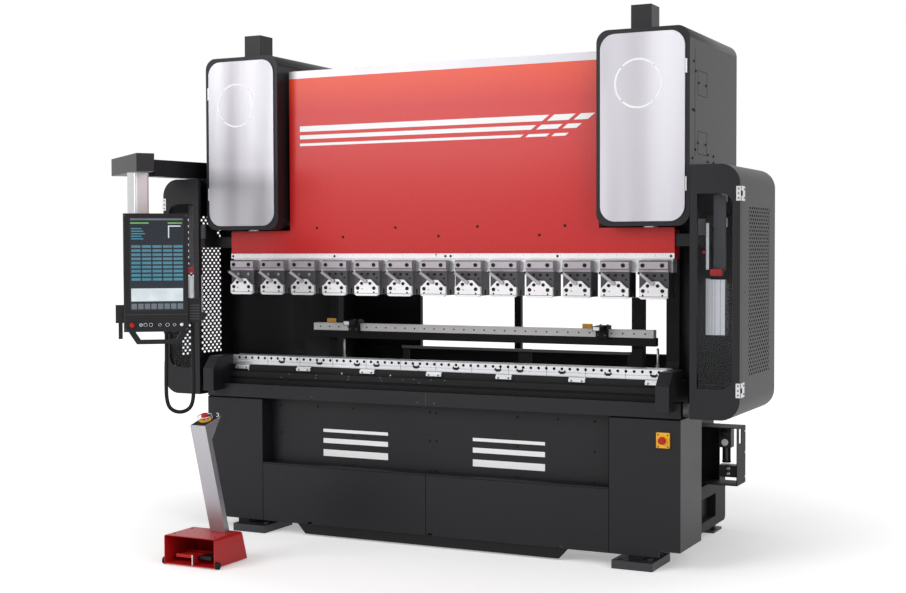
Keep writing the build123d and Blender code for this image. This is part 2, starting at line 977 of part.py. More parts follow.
# Pendant arm, link and mast
arm_low = 1952.0
arm_high = 2044.0
arm_width = 90.0
arm_end = 65.0
arm_root = (-tower_outer - 83.0, ram_front + 330.0)
elbow = (arm_root[0] - 120.0, arm_root[1] - 748.0)
lug = 20.0
lug_radius = 48.0
tongue_width = 76.0
pivot_pin = 15.0
pivot_bore = 15.5
tongue_play = 1.0
with BuildPart() as arm_bracket:
    with BuildSketch(Plane.XY.offset(arm_low)):
        with Locations(((arm_root[0] - tower_outer) / 2, arm_root[1])):
            Rectangle(-tower_outer - arm_root[0], 2 * lug_radius)
        with Locations(arm_root):
            Circle(lug_radius)
    extrude(amount=arm_high - arm_low)
    block(
        (arm_root[0] - lug_radius - 12, -tower_outer - lug),
        (arm_root[1] - lug_radius - 12, arm_root[1] + lug_radius + 12),
        (arm_low + lug, arm_high - lug),
        Mode.SUBTRACT,
    )
    rod(arm_root, pivot_pin, arm_low + lug, arm_high - lug)
save(arm_bracket, "arm_bracket")

arm_run = (elbow[0] - arm_root[0], elbow[1] - arm_root[1])
arm_length = hypot(*arm_run)
arm_angle = degrees(atan2(arm_run[1], arm_run[0]))
with BuildPart() as arm:
    with BuildSketch(turned(arm_root, arm_angle, arm_low)):
        with Locations((arm_length / 2, 0)):
            Rectangle(arm_length - 2 * arm_end, arm_width)
    extrude(amount=arm_high - arm_low)
    with BuildSketch(turned(arm_root, arm_angle, arm_low + lug + tongue_play)):
        with Locations((arm_length / 2, 0)):
            SlotCenterToCenter(arm_length, tongue_width)
        with Locations((0, 0), (arm_length, 0)):
            Circle(pivot_bore, mode=Mode.SUBTRACT)
    extrude(amount=arm_high - arm_low - 2 * (lug + tongue_play))
save(arm, "pendant_arm")

link_angle = -38.0
link_side = 98.5
link_tail = 60.0
link_length = 575.0
link_width = 92.0
cheek_radius = 42.0
with BuildPart() as link:
    with BuildSketch(turned(elbow, link_angle, arm_low)):
        with Locations((link_length / 2 - link_tail, -link_side)):
            Rectangle(link_length, link_width)
        with Locations((0, (link_width / 2 - link_side) / 2)):
            Rectangle(2 * cheek_radius, link_side - link_width / 2)
        Circle(cheek_radius)
    extrude(amount=arm_high - arm_low)
    with BuildSketch(turned(elbow, link_angle, arm_low + lug)):
        with Locations((0, 40)):
            Rectangle(140, 184)
    extrude(amount=arm_high - arm_low - 2 * lug, mode=Mode.SUBTRACT)
    with BuildSketch(turned(elbow, link_angle, arm_low + lug)):
        Circle(pivot_pin)
    extrude(amount=arm_high - arm_low - 2 * lug)
save(link, "pendant_link")

mast_size = 87.0
mast_corner = 14.0
mast_reach = 350.0
mast_turn = -21.0
mast_low = 1640.0
mast = (
    elbow[0] + mast_reach * cos(radians(link_angle)) + link_side * sin(radians(link_angle)),
    elbow[1] + mast_reach * sin(radians(link_angle)) - link_side * cos(radians(link_angle)),
)
with BuildPart() as mast_post:
    with BuildSketch(turned(mast, mast_turn, mast_low)):
        RectangleRounded(mast_size, mast_size, mast_corner)
    extrude(amount=arm_low - mast_low)
save(mast_post, "pendant_mast")

# Pendant panel on its swivel below the mast
panel_angle = -52.0
panel_low = 1129.0
panel_high = 1736.0
panel_width = 327.0
panel_depth = 60.0
panel_corner = 8.0
panel_reach = 172.0
panel_offset = 88.0
swivel_radius = 36.0
swivel_drop = 60.0
swivel_arm = 90.0
panel_back = panel_reach - panel_depth
with BuildPart() as swivel:
    with BuildSketch(turned(mast, panel_angle, mast_low - swivel_drop)):
        Circle(swivel_radius)
    extrude(amount=swivel_drop - seat_gap)
    with BuildSketch(turned(mast, panel_angle, mast_low - 2 * swivel_drop)):
        with Locations(((panel_back - swivel_radius) / 2, 0)):
            Rectangle(panel_back + swivel_radius, swivel_arm)
    extrude(amount=swivel_drop)
save(swivel, "pendant_swivel")

with BuildPart() as panel:
    with BuildSketch(turned(mast, panel_angle, panel_low)):
        with Locations((panel_back + panel_depth / 2, panel_offset)):
            RectangleRounded(panel_depth, panel_width, panel_corner)
    extrude(amount=panel_high - panel_low)
save(panel, "pendant_panel")

# Handle, side ears and cable glands of the pendant, drawn in upright planes along the panel
handle_middle = 97.5
handle_outer = (150.0, 109.0)
handle_inner = (116.0, 89.0)
handle_low = 1065.0
grip_high = 1088.0
handle_reach = 158.0
grip_depth = 22.0
ear_reach = 150.0
ear_depth = 50.0
ear_left = (41.0, 1175.0, 1267.0)
ear_right = (60.5, 1175.0, 1298.0)
plug_size = (26.0, 1185.0, 1226.0)
grip_bar = (14.0, 1093.0)
gland_radius = 14.0
gland_height = 12.0
cord_reach = 121.0
cord_exit = 138.0
cord_return = 272.0


def pendant_plane(reach):
    """An upright plane along the panel: its x runs across the panel, its y up."""
    return Plane(
        origin=turned(mast, panel_angle, 0).from_local_coords(Vector(reach, 0, 0)),
        x_dir=(-sin(radians(panel_angle)), cos(radians(panel_angle)), 0),
        z_dir=(cos(radians(panel_angle)), sin(radians(panel_angle)), 0),
    )


left_edge = panel_offset - panel_width / 2
right_edge = panel_offset + panel_width / 2
ears = (
    (left_edge - ear_left[0], left_edge, ear_left[1], ear_left[2]),
    (left_edge - ear_left[0] + grip_bar[0], left_edge - grip_bar[0] / 2, grip_bar[1], ear_left[1]),
    (right_edge, right_edge + ear_right[0], ear_right[1], ear_right[2]),
    (right_edge + ear_right[0], right_edge + ear_right[0] + plug_size[0], plug_size[1], plug_size[2]),
)
with BuildPart() as handles:
    with BuildSketch(pendant_plane(handle_reach)):
        outline(
            (handle_middle - handle_outer[0], panel_low),
            (handle_middle - handle_outer[1], handle_low),
            (handle_middle + handle_outer[1], handle_low),
            (handle_middle + handle_outer[0], panel_low),
            (handle_middle + handle_inner[0], panel_low),
            (handle_middle + handle_inner[1], grip_high),
            (handle_middle - handle_inner[1], grip_high),
            (handle_middle - handle_inner[0], panel_low),
        )
    extrude(amount=-grip_depth)
    with BuildSketch(pendant_plane(ear_reach)):
        for start, end, low, high in ears:
            with Locations(((start + end) / 2, (low + high) / 2)):
                Rectangle(end - start, high - low)
    extrude(amount=-ear_depth)
    for across, mouth in ((cord_exit, panel_low), (cord_return, ear_right[1])):
        with BuildSketch(turned(mast, panel_angle, mouth - gland_height)):
            with Locations((cord_reach, across)):
                Circle(gland_radius)
        extrude(amount=gland_height)
save(handles, "pendant_handles")

# Cord of the pendant: one hanging loop from the panel's underside to the right ear
cord_radius = 10.0
cord_points = [
    (cord_exit, panel_low - gland_height),
    (cord_exit, 1000.0),
    (cord_exit - 4.5, 880.0),
    (cord_exit - 2, 747.8),
    (cord_exit + 37.8, 708.0),
    (cord_return - 39.8, 708.0),
    (cord_return, 747.8),
    (cord_return + 2.5, 880.0),
    (cord_return, 1000.0),
    (cord_return, ear_right[1] - gland_height),
]


def corner_radii(points):
    """For each inner point, 0.45 of the shorter run over the tangent of half the turn."""
    radii = []
    for before, here, after in zip(points, points[1:], points[2:]):
        first = atan2(here[1] - before[1], here[0] - before[0])
        second = atan2(after[1] - here[1], after[0] - here[0])
        turn = abs(atan2(sin(second - first), cos(second - first)))
        first_run = hypot(here[0] - before[0], here[1] - before[1])
        second_run = hypot(after[0] - here[0], after[1] - here[1])
        shorter = min(first_run, second_run)
        radii.append(0.45 * shorter * cos(turn / 2) / sin(turn / 2))
    return radii


cord_radii = corner_radii(cord_points)
with BuildPart() as cord:
    with BuildLine(pendant_plane(cord_reach)) as route:
        FilletPolyline(*cord_points, radius=cord_radii)
    start = route.line @ 0
    with BuildSketch(Plane(origin=start, z_dir=route.line % 0)):
        Circle(cord_radius)
    sweep(path=route.line)
save(cord, "pendant_cord")
cord_length = route.wires()[0].length
cord_volume = pi * cord_radius**2 * cord_length
print("cord radii", [round(radius, 1) for radius in cord_radii])
print("cord length", round(cord_length, 1))
print("cord volume over section times length", round(cord.part.volume / cord_volume, 4))

# Foot pedal unit, standing by itself in front of the machine
pedal_origin = (-826.0, ram_front - 933.0)
pedal_turn = 0.0
shell_low = 6.0
shell_width = 300.0
shell_front_y = -116.0
shell_back_y = 116.0
shell_heel = 45.0
shell_height = 143.0
shell_wall = 4.0
shell_fold = 12.0
axle_y = 56.0
axle_z = 38.0
axle_radius = 5.0
wheel_radius = 18.0
wheel_width = 14.0
wheel_inset = 16.0
pad_inset = 25.0
pad_radius = 12.0
divider_start = 13.0
divider_thickness = 3.0
divider_inset = 4.0
divider_depth = 48.0
divider_height = 50.0
pedal_x_dir = (cos(radians(pedal_turn)), sin(radians(pedal_turn)), 0)
pedal_y_dir = (-sin(radians(pedal_turn)), cos(radians(pedal_turn)), 0)


def pedal_section(across):
    """An upright plane across the pedal unit: its x runs to the back, its y up."""
    origin = turned(pedal_origin, pedal_turn, 0).from_local_coords(Vector(across, 0, 0))
    return Plane(origin=origin, x_dir=pedal_y_dir, z_dir=pedal_x_dir)


shell_high = shell_low + shell_height
with BuildPart() as pedal_shell:
    with BuildSketch(pedal_section(-shell_width / 2)):
        outline(
            (shell_front_y, shell_low),
            (shell_back_y + shell_heel, shell_low),
            (shell_back_y, shell_high),
            (shell_front_y, shell_high),
        )
    extrude(amount=shell_width)
    top_edges = pedal_shell.faces().sort_by(Axis.Z)[-1].edges()
    front_edge = pedal_shell.faces().sort_by(Axis.Z)[-1].edges().sort_by(Axis.Y)[0]
    fillet([edge for edge in top_edges if edge != front_edge], shell_fold)
    with BuildSketch(pedal_section(-shell_width / 2 + shell_wall)):
        outline(
            (shell_front_y, shell_low + shell_wall),
            (shell_back_y + shell_heel - shell_wall, shell_low + shell_wall),
            (shell_back_y - shell_wall, shell_high - shell_wall),
            (shell_front_y, shell_high - shell_wall),
        )
    extrude(amount=shell_width - 2 * shell_wall, mode=Mode.SUBTRACT)
    with BuildSketch(pedal_section(-shell_width / 2 + shell_wall)):
        with Locations((axle_y, axle_z)):
            Circle(axle_radius)
    extrude(amount=shell_width - 2 * shell_wall)
    with BuildSketch(pedal_section(divider_start)):
        with Locations((
            shell_front_y + divider_inset + divider_depth / 2,
            shell_low + shell_wall + divider_height / 2,
        )):
            Rectangle(divider_depth, divider_height)
    extrude(amount=divider_thickness)
save(pedal_shell, "pedal_shell")

with BuildPart() as pedal_wheels:
    for side in sides:
        near = side * (shell_width / 2 + seat_gap)
        far = side * (shell_width / 2 + wheel_width)
        with BuildSketch(pedal_section(min(near, far))):
            with Locations((shell_front_y + wheel_inset, wheel_radius)):
                Circle(wheel_radius)
        extrude(amount=abs(far - near))
    with BuildSketch(turned(pedal_origin, pedal_turn, 0)):
        with GridLocations(shell_width - 2 * pad_inset, 1, 2, 1):
            with Locations((0, shell_back_y - pad_inset)):
                Circle(pad_radius)
    extrude(amount=shell_low)
save(pedal_wheels, "pedal_wheels")

tread_front = -70.0
tread_thickness = 8.0
tread_lip = 12.0
boss_radius = 9.0
for name, start, end in (("pedal_down", -112.0, 8.0), ("pedal_up", 22.5, 97.5)):
    with BuildPart() as pedal:
        with BuildSketch(pedal_section(start)):
            outline(
                (tread_front, axle_z - tread_thickness / 2),
                (axle_y, axle_z - tread_thickness / 2),
                (axle_y, axle_z + tread_thickness / 2),
                (tread_front + tread_thickness, axle_z + tread_thickness / 2),
                (tread_front + tread_thickness, axle_z + tread_lip),
                (tread_front, axle_z + tread_lip),
            )
            with Locations((axle_y, axle_z)):
                Circle(boss_radius)
                Circle(axle_radius + seat_gap, mode=Mode.SUBTRACT)
        extrude(amount=end - start)
    save(pedal, name)

# Leaning column of the pedal unit with the wedge-shaped stop console
post_size = 90.0
post_thickness = 36.0
post_centre = 52.0
post_lean = 160.0
post_rise = 547.0
post_foot = shell_back_y - 30.0 - post_thickness
console_depth = 131.0
console_rise = 35.0
console_start = 0.866
with BuildPart() as pedal_column:
    with BuildSketch(pedal_section(post_centre - post_size / 2)):
        outline(
            (post_foot, shell_high),
            (post_foot + post_thickness, shell_high),
            (post_foot + post_thickness - post_lean * console_start, shell_high + post_rise * console_start),
            (post_foot + console_depth - post_lean, shell_high + post_rise + console_rise),
            (post_foot - post_lean, shell_high + post_rise),
        )
    extrude(amount=post_size)
save(pedal_column, "pedal_column")

# Emergency stops: a yellow box on the right column, a yellow collar on the console
estop_x = column_outer - 85.0
estop_z = 631.0
estop_width = 66.0
estop_height = 74.0
estop_depth = 12.0
estop_corner = 5.0
collar_radius = 30.0
collar_height = 8.0
button_radius = 19.0
button_neck = 10.5
button_rise = 14.0
button_crown = 14.0
button_taper = 12.0
console_slope = atan2(console_rise, console_depth)
console_centre = turned(pedal_origin, pedal_turn, 0).from_local_coords(
    Vector(post_centre, post_foot - post_lean + console_depth / 2, shell_high + post_rise + console_rise / 2)
)
console_plane = Plane(
    origin=console_centre,
    x_dir=pedal_x_dir,
    z_dir=(
        -sin(console_slope) * pedal_y_dir[0],
        -sin(console_slope) * pedal_y_dir[1],
        cos(console_slope),
    ),
)
box_plane = Plane(origin=(estop_x, column_front - estop_depth, estop_z), x_dir=(1, 0, 0), z_dir=(0, -1, 0))
with BuildPart() as stop_boxes:
    with BuildSketch(Plane.XZ.offset(-column_front)):
        with Locations((estop_x, estop_z)):
            RectangleRounded(estop_width, estop_height, estop_corner)
    extrude(amount=estop_depth)
    with BuildSketch(console_plane):
        Circle(collar_radius)
    extrude(amount=collar_height)
save(stop_boxes, "stop_boxes")

with BuildPart() as stop_buttons:
    for seat in (box_plane, console_plane.offset(collar_height)):
        with BuildSketch(seat):
            Circle(button_neck)
        extrude(amount=button_rise)
        with BuildSketch(seat.offset(button_rise)):
            Circle(button_radius)
        extrude(amount=button_crown, taper=button_taper)
save(stop_buttons, "stop_buttons")
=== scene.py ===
import math

import bmesh
import bpy
from mathutils import Matrix, Vector


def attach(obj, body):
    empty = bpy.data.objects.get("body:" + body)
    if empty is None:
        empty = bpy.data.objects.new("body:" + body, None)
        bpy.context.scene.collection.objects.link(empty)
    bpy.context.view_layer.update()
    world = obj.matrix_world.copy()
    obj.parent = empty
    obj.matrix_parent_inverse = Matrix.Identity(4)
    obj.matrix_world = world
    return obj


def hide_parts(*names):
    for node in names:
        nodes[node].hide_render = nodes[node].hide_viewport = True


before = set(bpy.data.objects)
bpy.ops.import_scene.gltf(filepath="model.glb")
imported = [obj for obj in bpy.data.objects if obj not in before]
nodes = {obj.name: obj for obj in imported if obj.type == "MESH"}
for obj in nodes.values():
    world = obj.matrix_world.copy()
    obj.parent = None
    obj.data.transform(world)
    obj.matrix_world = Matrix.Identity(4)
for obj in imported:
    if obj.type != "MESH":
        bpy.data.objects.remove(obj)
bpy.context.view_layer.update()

MM = 0.001
sides = (-1, 1)

# Planes of the machine, in millimetres
ram_face = -375.0
ruler_face = -379.0
jaw_face = -420.0
plate_face = -416.0
holder_face = -404.0
rail_face = -404.0
panel_face = -422.0
column_face = -509.0
tower_side = 1397.0
tower_door_face = -473.0
cover_side = 1657.0
cover_face = -521.0
holder_pitch = 200.0
holder_count = 13
holder_width = 150.0

# Heights of stripes, seams and fine marks above their surface
film = 0.6
seam_height = 0.5
mark_height = 0.4


def surface(origin, x_dir, y_dir):
    """The matrix of a flat place: its local z points out of the surface."""
    x, y = Vector(x_dir).normalized(), Vector(y_dir).normalized()
    z = x.cross(y)
    rows = [(x[i], y[i], z[i], origin[i]) for i in range(3)]
    return Matrix((*rows, (0, 0, 0, 1)))


def front(x, y, z):
    """A place that faces the operator."""
    return surface((x, y, z), (1, 0, 0), (0, 0, 1))


def flank(side, x, y, z):
    """A place on an outer flank: side 1 faces right and -1 left."""
    return surface((side * x, y, z), (0, side, 0), (0, 0, 1))


def top(x, y, z):
    """A place that faces up."""
    return Matrix.Translation((x, y, z))


def across(side, first, second):
    """Low and high X of a piece given by distances from the middle on one side."""
    return tuple(sorted((side * first, side * second)))


def added(name, data):
    """A new object in the scene."""
    thing = bpy.data.objects.new(name, data)
    bpy.context.scene.collection.objects.link(thing)
    return thing


class Piece:
    """Geometry gathered in millimetres that becomes one object on one body."""

    def __init__(self):
        self.mesh = bmesh.new()

    def block(self, x, y, z, at=Matrix.Identity(4), chamfer=0.0):
        """A box from its low and high positions, with its upright edges cut if asked."""
        c = chamfer
        outline = [(x[0], y[0]), (x[1], y[0]), (x[1], y[1]), (x[0], y[1])]
        if c:
            outline = [
                (x[0] + c, y[0]), (x[1] - c, y[0]), (x[1], y[0] + c), (x[1], y[1] - c),
                (x[1] - c, y[1]), (x[0] + c, y[1]), (x[0], y[1] - c), (x[0], y[0] + c),
            ]
        self.slab(outline, z[0], z[1], at)

    def slab(self, outline, low, high, at):
        """An outline in local x and y, filled from one local height to another."""
        places = [[at @ Vector((x, y, z)) for x, y in outline] for z in (low, high)]
        rings = [[self.mesh.verts.new(place) for place in ring] for ring in places]
        self.mesh.faces.new(reversed(rings[0]))
        self.mesh.faces.new(rings[1])
        for i in range(len(outline)):
            j = (i + 1) % len(outline)
            self.mesh.faces.new((rings[0][i], rings[0][j], rings[1][j], rings[1][i]))

    def turn(self, profile, at, count=20):
        """A profile of radius and height pairs turned about the local z, from the bottom up."""
        rings = []
        for radius, height in profile:
            if radius == 0:
                rings.append([self.mesh.verts.new(at @ Vector((0, 0, height)))])
                continue
            angles = [2 * math.pi * i / count for i in range(count)]
            ring = [Vector((radius * math.cos(a), radius * math.sin(a), height)) for a in angles]
            rings.append([self.mesh.verts.new(at @ v) for v in ring])
        for low, high in zip(rings, rings[1:]):
            for i in range(count):
                j = (i + 1) % count
                if len(high) == 1:
                    self.mesh.faces.new((low[i], low[j], high[0]))
                elif len(low) == 1:
                    self.mesh.faces.new((low[0], high[j], high[i]))
                else:
                    self.mesh.faces.new((low[i], low[j], high[j], high[i]))
        if len(rings[0]) > 1:
            self.mesh.faces.new(reversed(rings[0]))

    def arc(self, radius, width, height, start, end, at, count=24):
        """A flat curved bar between two angles in degrees."""
        angles = [math.radians(start + (end - start) * i / count) for i in range(count + 1)]
        outer = [(radius * math.cos(a), radius * math.sin(a)) for a in angles]
        small = radius - width
        inner = [(small * math.cos(a), small * math.sin(a)) for a in reversed(angles)]
        self.slab(outer + inner, 0, height, at)

    def done(self, name, body, material, slot=None, bevel=0.0):
        """Make the object in metres, with its material, riding on its body."""
        bmesh.ops.scale(self.mesh, vec=(MM, MM, MM), verts=self.mesh.verts)
        bmesh.ops.recalc_face_normals(self.mesh, faces=self.mesh.faces)
        mesh = bpy.data.meshes.new(name)
        self.mesh.to_mesh(mesh)
        self.mesh.free()
        mesh.polygons.foreach_set("use_smooth", [True] * len(mesh.polygons))
        mesh.set_sharp_from_angle(angle=math.radians(38))
        mesh.materials.append(material)
        piece = added(name, mesh)
        if bevel:
            edge = piece.modifiers.new("edge", "BEVEL")
            edge.width = bevel * MM
            edge.segments = 2
            edge.limit_method = "ANGLE"
        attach(piece, body)


def screw_shape(radius, proud=0.5):
    """A domed screw head with its socket."""
    h = radius * proud
    return [(radius, 0), (radius, h * 0.6), (radius * 0.8, h), (radius * 0.48, h),
            (radius * 0.42, h * 0.3), (0, h * 0.3)]


def bolt_shape(radius, height):
    """A cylindrical bolt head with a deep socket."""
    c = radius * 0.12
    return [(radius, 0), (radius, height - c), (radius - c, height), (radius * 0.55, height),
            (radius * 0.5, height * 0.35), (0, height * 0.35)]


def knob_shape(radius, height):
    """A turned button with a waist and a domed cap."""
    return [(radius * 0.7, 0), (radius * 0.7, height * 0.3), (radius, height * 0.42), (radius, height * 0.8),
            (radius * 0.78, height), (0, height * 1.06)]


# Materials, with the places that they read in metres

carrier_split = 1.405
carrier_coat = (0.012, 0.012, 0.013)
slots_y = (-0.366, 0.027)
slots_z = (0.939, 1.749)
slot_pitch = (0.041, 0.018)
slot_half = 0.0036
slot_radius = 0.0062
slot_flare = (0.009, 0.002)
cover_outside = 1.656
ram_height = 2.5


def shader(name, roughness=0.5, metallic=0.0):
    """A new material with its tree, main shader and place in the object's own frame."""
    material = bpy.data.materials.new(name)
    material.use_nodes = True
    tree = material.node_tree
    main = tree.nodes["Principled BSDF"]
    main.inputs["Roughness"].default_value = roughness
    main.inputs["Metallic"].default_value = metallic
    place = tree.nodes.new("ShaderNodeTexCoord").outputs["Object"]
    return material, tree, main, place


def noise(tree, place, scale, detail=3.0, stretch=None):
    """Noise in metres, drawn out along an axis if asked."""
    if stretch:
        mapping = tree.nodes.new("ShaderNodeMapping")
        mapping.inputs["Scale"].default_value = stretch
        tree.links.new(place, mapping.inputs["Vector"])
        place = mapping.outputs["Vector"]
    texture = tree.nodes.new("ShaderNodeTexNoise")
    texture.inputs["Scale"].default_value = scale
    texture.inputs["Detail"].default_value = detail
    tree.links.new(place, texture.inputs["Vector"])
    return texture.outputs["Fac"]


def ramp(tree, value, stops):
    """Colours along a value."""
    node = tree.nodes.new("ShaderNodeValToRGB")
    while len(node.color_ramp.elements) < len(stops):
        node.color_ramp.elements.new(0.5)
    for element, (position, colour) in zip(node.color_ramp.elements, stops):
        element.position = position
        element.color = (*colour, 1)
    tree.links.new(value, node.inputs["Fac"])
    return node.outputs["Color"]


def axes(tree):
    """X, Y and Z of the place in the object's own frame."""
    split = tree.nodes.new("ShaderNodeSeparateXYZ")
    tree.links.new(tree.nodes["Texture Coordinate"].outputs["Object"], split.inputs["Vector"])
    return split.outputs


def spread(tree, value, low, high, start=0.3, end=0.7):
    """A value brought from one range to another, and held within it."""
    node = tree.nodes.new("ShaderNodeMapRange")
    node.inputs["From Min"].default_value = start
    node.inputs["From Max"].default_value = end
    node.inputs["To Min"].default_value = low
    node.inputs["To Max"].default_value = high
    tree.links.new(value, node.inputs["Value"])
    return node.outputs["Result"]


def relief(tree, value, main, strength, distance):
    """Fine relief on the surface."""
    bump = tree.nodes.new("ShaderNodeBump")
    bump.inputs["Strength"].default_value = strength
    bump.inputs["Distance"].default_value = distance
    tree.links.new(value, bump.inputs["Height"])
    tree.links.new(bump.outputs["Normal"], main.inputs["Normal"])


def shades(colour, change, middle=0.5, half=0.2):
    """A darker and a lighter tone of a colour, as stops of a ramp."""
    low, high = [c * (1 - change) for c in colour], [min(1.0, c * (1 + change)) for c in colour]
    return [(middle - half, low), (middle + half, high)]


def paint(name, colour, roughness=0.42, grain=700.0, depth=0.12, change=0.08, coat=0.0, gloss=0.5):
    """Powder coat or lacquer: slight tone changes and the fine grain of the coat."""
    material, tree, main, place = shader(name, roughness)
    tone = noise(tree, place, 2.2)
    tree.links.new(ramp(tree, tone, shades(colour, change)), main.inputs["Base Color"])
    fine = noise(tree, place, grain, 2.0)
    tree.links.new(spread(tree, fine, roughness - 0.05, roughness + 0.07), main.inputs["Roughness"])
    relief(tree, fine, main, depth, 0.0003)
    main.inputs["Coat Weight"].default_value = coat
    main.inputs["Coat Roughness"].default_value = 0.12
    main.inputs["Specular IOR Level"].default_value = gloss
    return material


def brushed(name, colour, stretch, roughness=0.34, change=0.1, metallic=0.8, grain=0.35, broad=(1, 1, 1)):
    """Metal brushed or ground along one axis, with soft broad bands of tone; stretched upright on the tower
    doors, these bands are painted reflections.
    """
    material, tree, main, place = shader(name, roughness, metallic)
    lines = noise(tree, place, 6.0, 4.0, stretch)
    # Broad bands: random tone on most metals, painted reflections on the tower doors.
    tone_and_reflection_bands = noise(tree, place, 1.6, 1.0, broad)
    tone = calculate(tree, "MULTIPLY_ADD", lines, grain, tone_and_reflection_bands)
    tones = shades(colour, change, 0.5 + grain / 2, 0.225)
    tree.links.new(ramp(tree, tone, tones), main.inputs["Base Color"])
    tree.links.new(spread(tree, lines, roughness - 0.06, roughness + 0.08), main.inputs["Roughness"])
    relief(tree, lines, main, 0.1, 0.0002)
    return material


def carrier_metal(name, colour):
    """Drawn profile below, and the black coat of the arm and block above it."""
    material = brushed(name, colour, upright, 0.4)
    tree = material.node_tree
    main = tree.nodes["Principled BSDF"]
    below = calculate(tree, "LESS_THAN", axes(tree)["Z"], carrier_split)
    tone = ramp(tree, below, [(0.0, carrier_coat), (1.0, colour)])
    tree.links.new(tone, main.inputs["Base Color"])
    tree.links.new(below, main.inputs["Metallic"])
    main.inputs["Specular IOR Level"].default_value = 0.2
    return material


def calculate(tree, operation, first, second=None, third=None):
    """One arithmetic step on outputs or numbers."""
    node = tree.nodes.new("ShaderNodeMath")
    node.operation = operation
    for socket, value in zip(node.inputs, (first, second, third)):
        if value is None:
            continue
        if isinstance(value, (int, float)):
            socket.default_value = value
        else:
            tree.links.new(value, socket)
    return node.outputs["Value"]


def centred(tree, count, pitch):
    """Distance from the middle of the cell that a running count is in."""
    part = calculate(tree, "SUBTRACT", calculate(tree, "FRACT", count), 0.5)
    return calculate(tree, "MULTIPLY", part, pitch)


def perforated(name, colour):
    """The coat of the side covers, with staggered slots that are wider on the inner face."""
    material = paint(name, colour, gloss=0.28)
    tree = material.node_tree
    main = tree.nodes["Principled BSDF"]
    x, y, z = axes(tree)
    row = calculate(tree, "DIVIDE", calculate(tree, "SUBTRACT", z, slots_z[0]), slot_pitch[1])
    odd = calculate(tree, "MODULO", calculate(tree, "FLOOR", row), 2.0)
    along = calculate(tree, "DIVIDE", calculate(tree, "SUBTRACT", y, slots_y[0]), slot_pitch[0])
    along = calculate(tree, "MULTIPLY_ADD", odd, 0.5, along)
    dy = centred(tree, along, slot_pitch[0])
    dz = centred(tree, row, slot_pitch[1])
    inner = calculate(tree, "LESS_THAN", calculate(tree, "ABSOLUTE", x), cover_outside)
    half = calculate(tree, "MULTIPLY_ADD", inner, slot_flare[0], slot_half)
    radius = calculate(tree, "MULTIPLY_ADD", inner, slot_flare[1], slot_radius)
    reach = calculate(tree, "SUBTRACT", calculate(tree, "ABSOLUTE", dy), half)
    reach = calculate(tree, "MAXIMUM", reach, 0.0)
    square = calculate(tree, "MULTIPLY_ADD", dz, dz, calculate(tree, "MULTIPLY", reach, reach))
    hole = calculate(tree, "LESS_THAN", square, calculate(tree, "MULTIPLY", radius, radius))
    for value, (low, high) in ((y, slots_y), (z, slots_z)):
        hole = calculate(tree, "MULTIPLY", hole, calculate(tree, "GREATER_THAN", value, low))
        hole = calculate(tree, "MULTIPLY", hole, calculate(tree, "LESS_THAN", value, high))
    tree.links.new(calculate(tree, "SUBTRACT", 1.0, hole), main.inputs["Alpha"])
    return material


def glass(name):
    """Clear pane with faint wipe marks."""
    material, tree, main, place = shader(name, 0.03)
    main.inputs["Base Color"].default_value = (0.8, 0.82, 0.84, 1)
    main.inputs["Transmission Weight"].default_value = 1.0
    main.inputs["IOR"].default_value = 1.2
    tree.links.new(spread(tree, noise(tree, place, 9.0, 2.0), 0.01, 0.05), main.inputs["Roughness"])
    return material


def lit(name, colour, strength):
    """A lit area of the display, with the faint unevenness of its backlight."""
    material, tree, main, place = shader(name, 0.25)
    glow = ramp(tree, noise(tree, place, 14.0), shades(colour, 0.12))
    tree.links.new(glow, main.inputs["Emission Color"])
    main.inputs["Emission Strength"].default_value = strength
    main.inputs["Base Color"].default_value = (0.01, 0.01, 0.012, 1)
    return material


def red_lacquer_painted_top_light(name):
    """Gloss red with painted light graded by height: darker lower on the ram, and a little warmer and lighter
    along its top as a painted highlight.
    """
    material = paint(name, (0.60, 0.012, 0.012), 0.3, 500.0, 0.05, 0.05, 0.12, 0.35)
    tree = material.node_tree
    main = tree.nodes["Principled BSDF"]
    # Painted light: the colour runs by height, darker lower down, with a painted highlight along the top of
    # the ram.
    height = calculate(tree, "DIVIDE", axes(tree)["Z"], ram_height)
    stops = [(0.55, (0.50, 0.010, 0.012)), (0.92, (0.60, 0.012, 0.010)), (0.99, (0.76, 0.05, 0.008))]
    tree.links.new(ramp(tree, height, stops), main.inputs["Base Color"])
    return material


upright, level, deep = (60.0, 60.0, 0.6), (0.6, 60.0, 60.0), (60.0, 0.6, 60.0)
black = paint("black_coat", (0.010, 0.0095, 0.012), 0.4, gloss=0.28)
black_plain = paint("black_coat_matte", (0.008, 0.0078, 0.009), 0.6, gloss=0.25)
black_covers = perforated("black_coat_perforated", (0.010, 0.0095, 0.012))
charcoal = paint("charcoal_coat", (0.055, 0.053, 0.058), 0.5)
# Red of the ram, with a painted highlight along its top and darker lower down.
red_with_painted_top_light = red_lacquer_painted_top_light("red_lacquer_painted_top_light")
red_small = paint("red_coat", (0.46, 0.010, 0.011), 0.36, 600.0, 0.08, 0.05, 0.05, 0.3)
white = paint("white_film", (0.86, 0.87, 0.88), 0.4, 900.0, 0.04, 0.02)
silver = paint("silver_coat", (0.93, 0.92, 0.93), 0.35, 900.0, 0.04, 0.03)
yellow = paint("yellow_moulding", (0.90, 0.46, 0.01), 0.3, 500.0, 0.04, 0.03)
plastic = paint("black_moulding", (0.010, 0.010, 0.012), 0.38, 1200.0, 0.15, gloss=0.3)
rubber = paint("black_rubber", (0.006, 0.006, 0.0065), 0.6, 1500.0, 0.2, gloss=0.25)
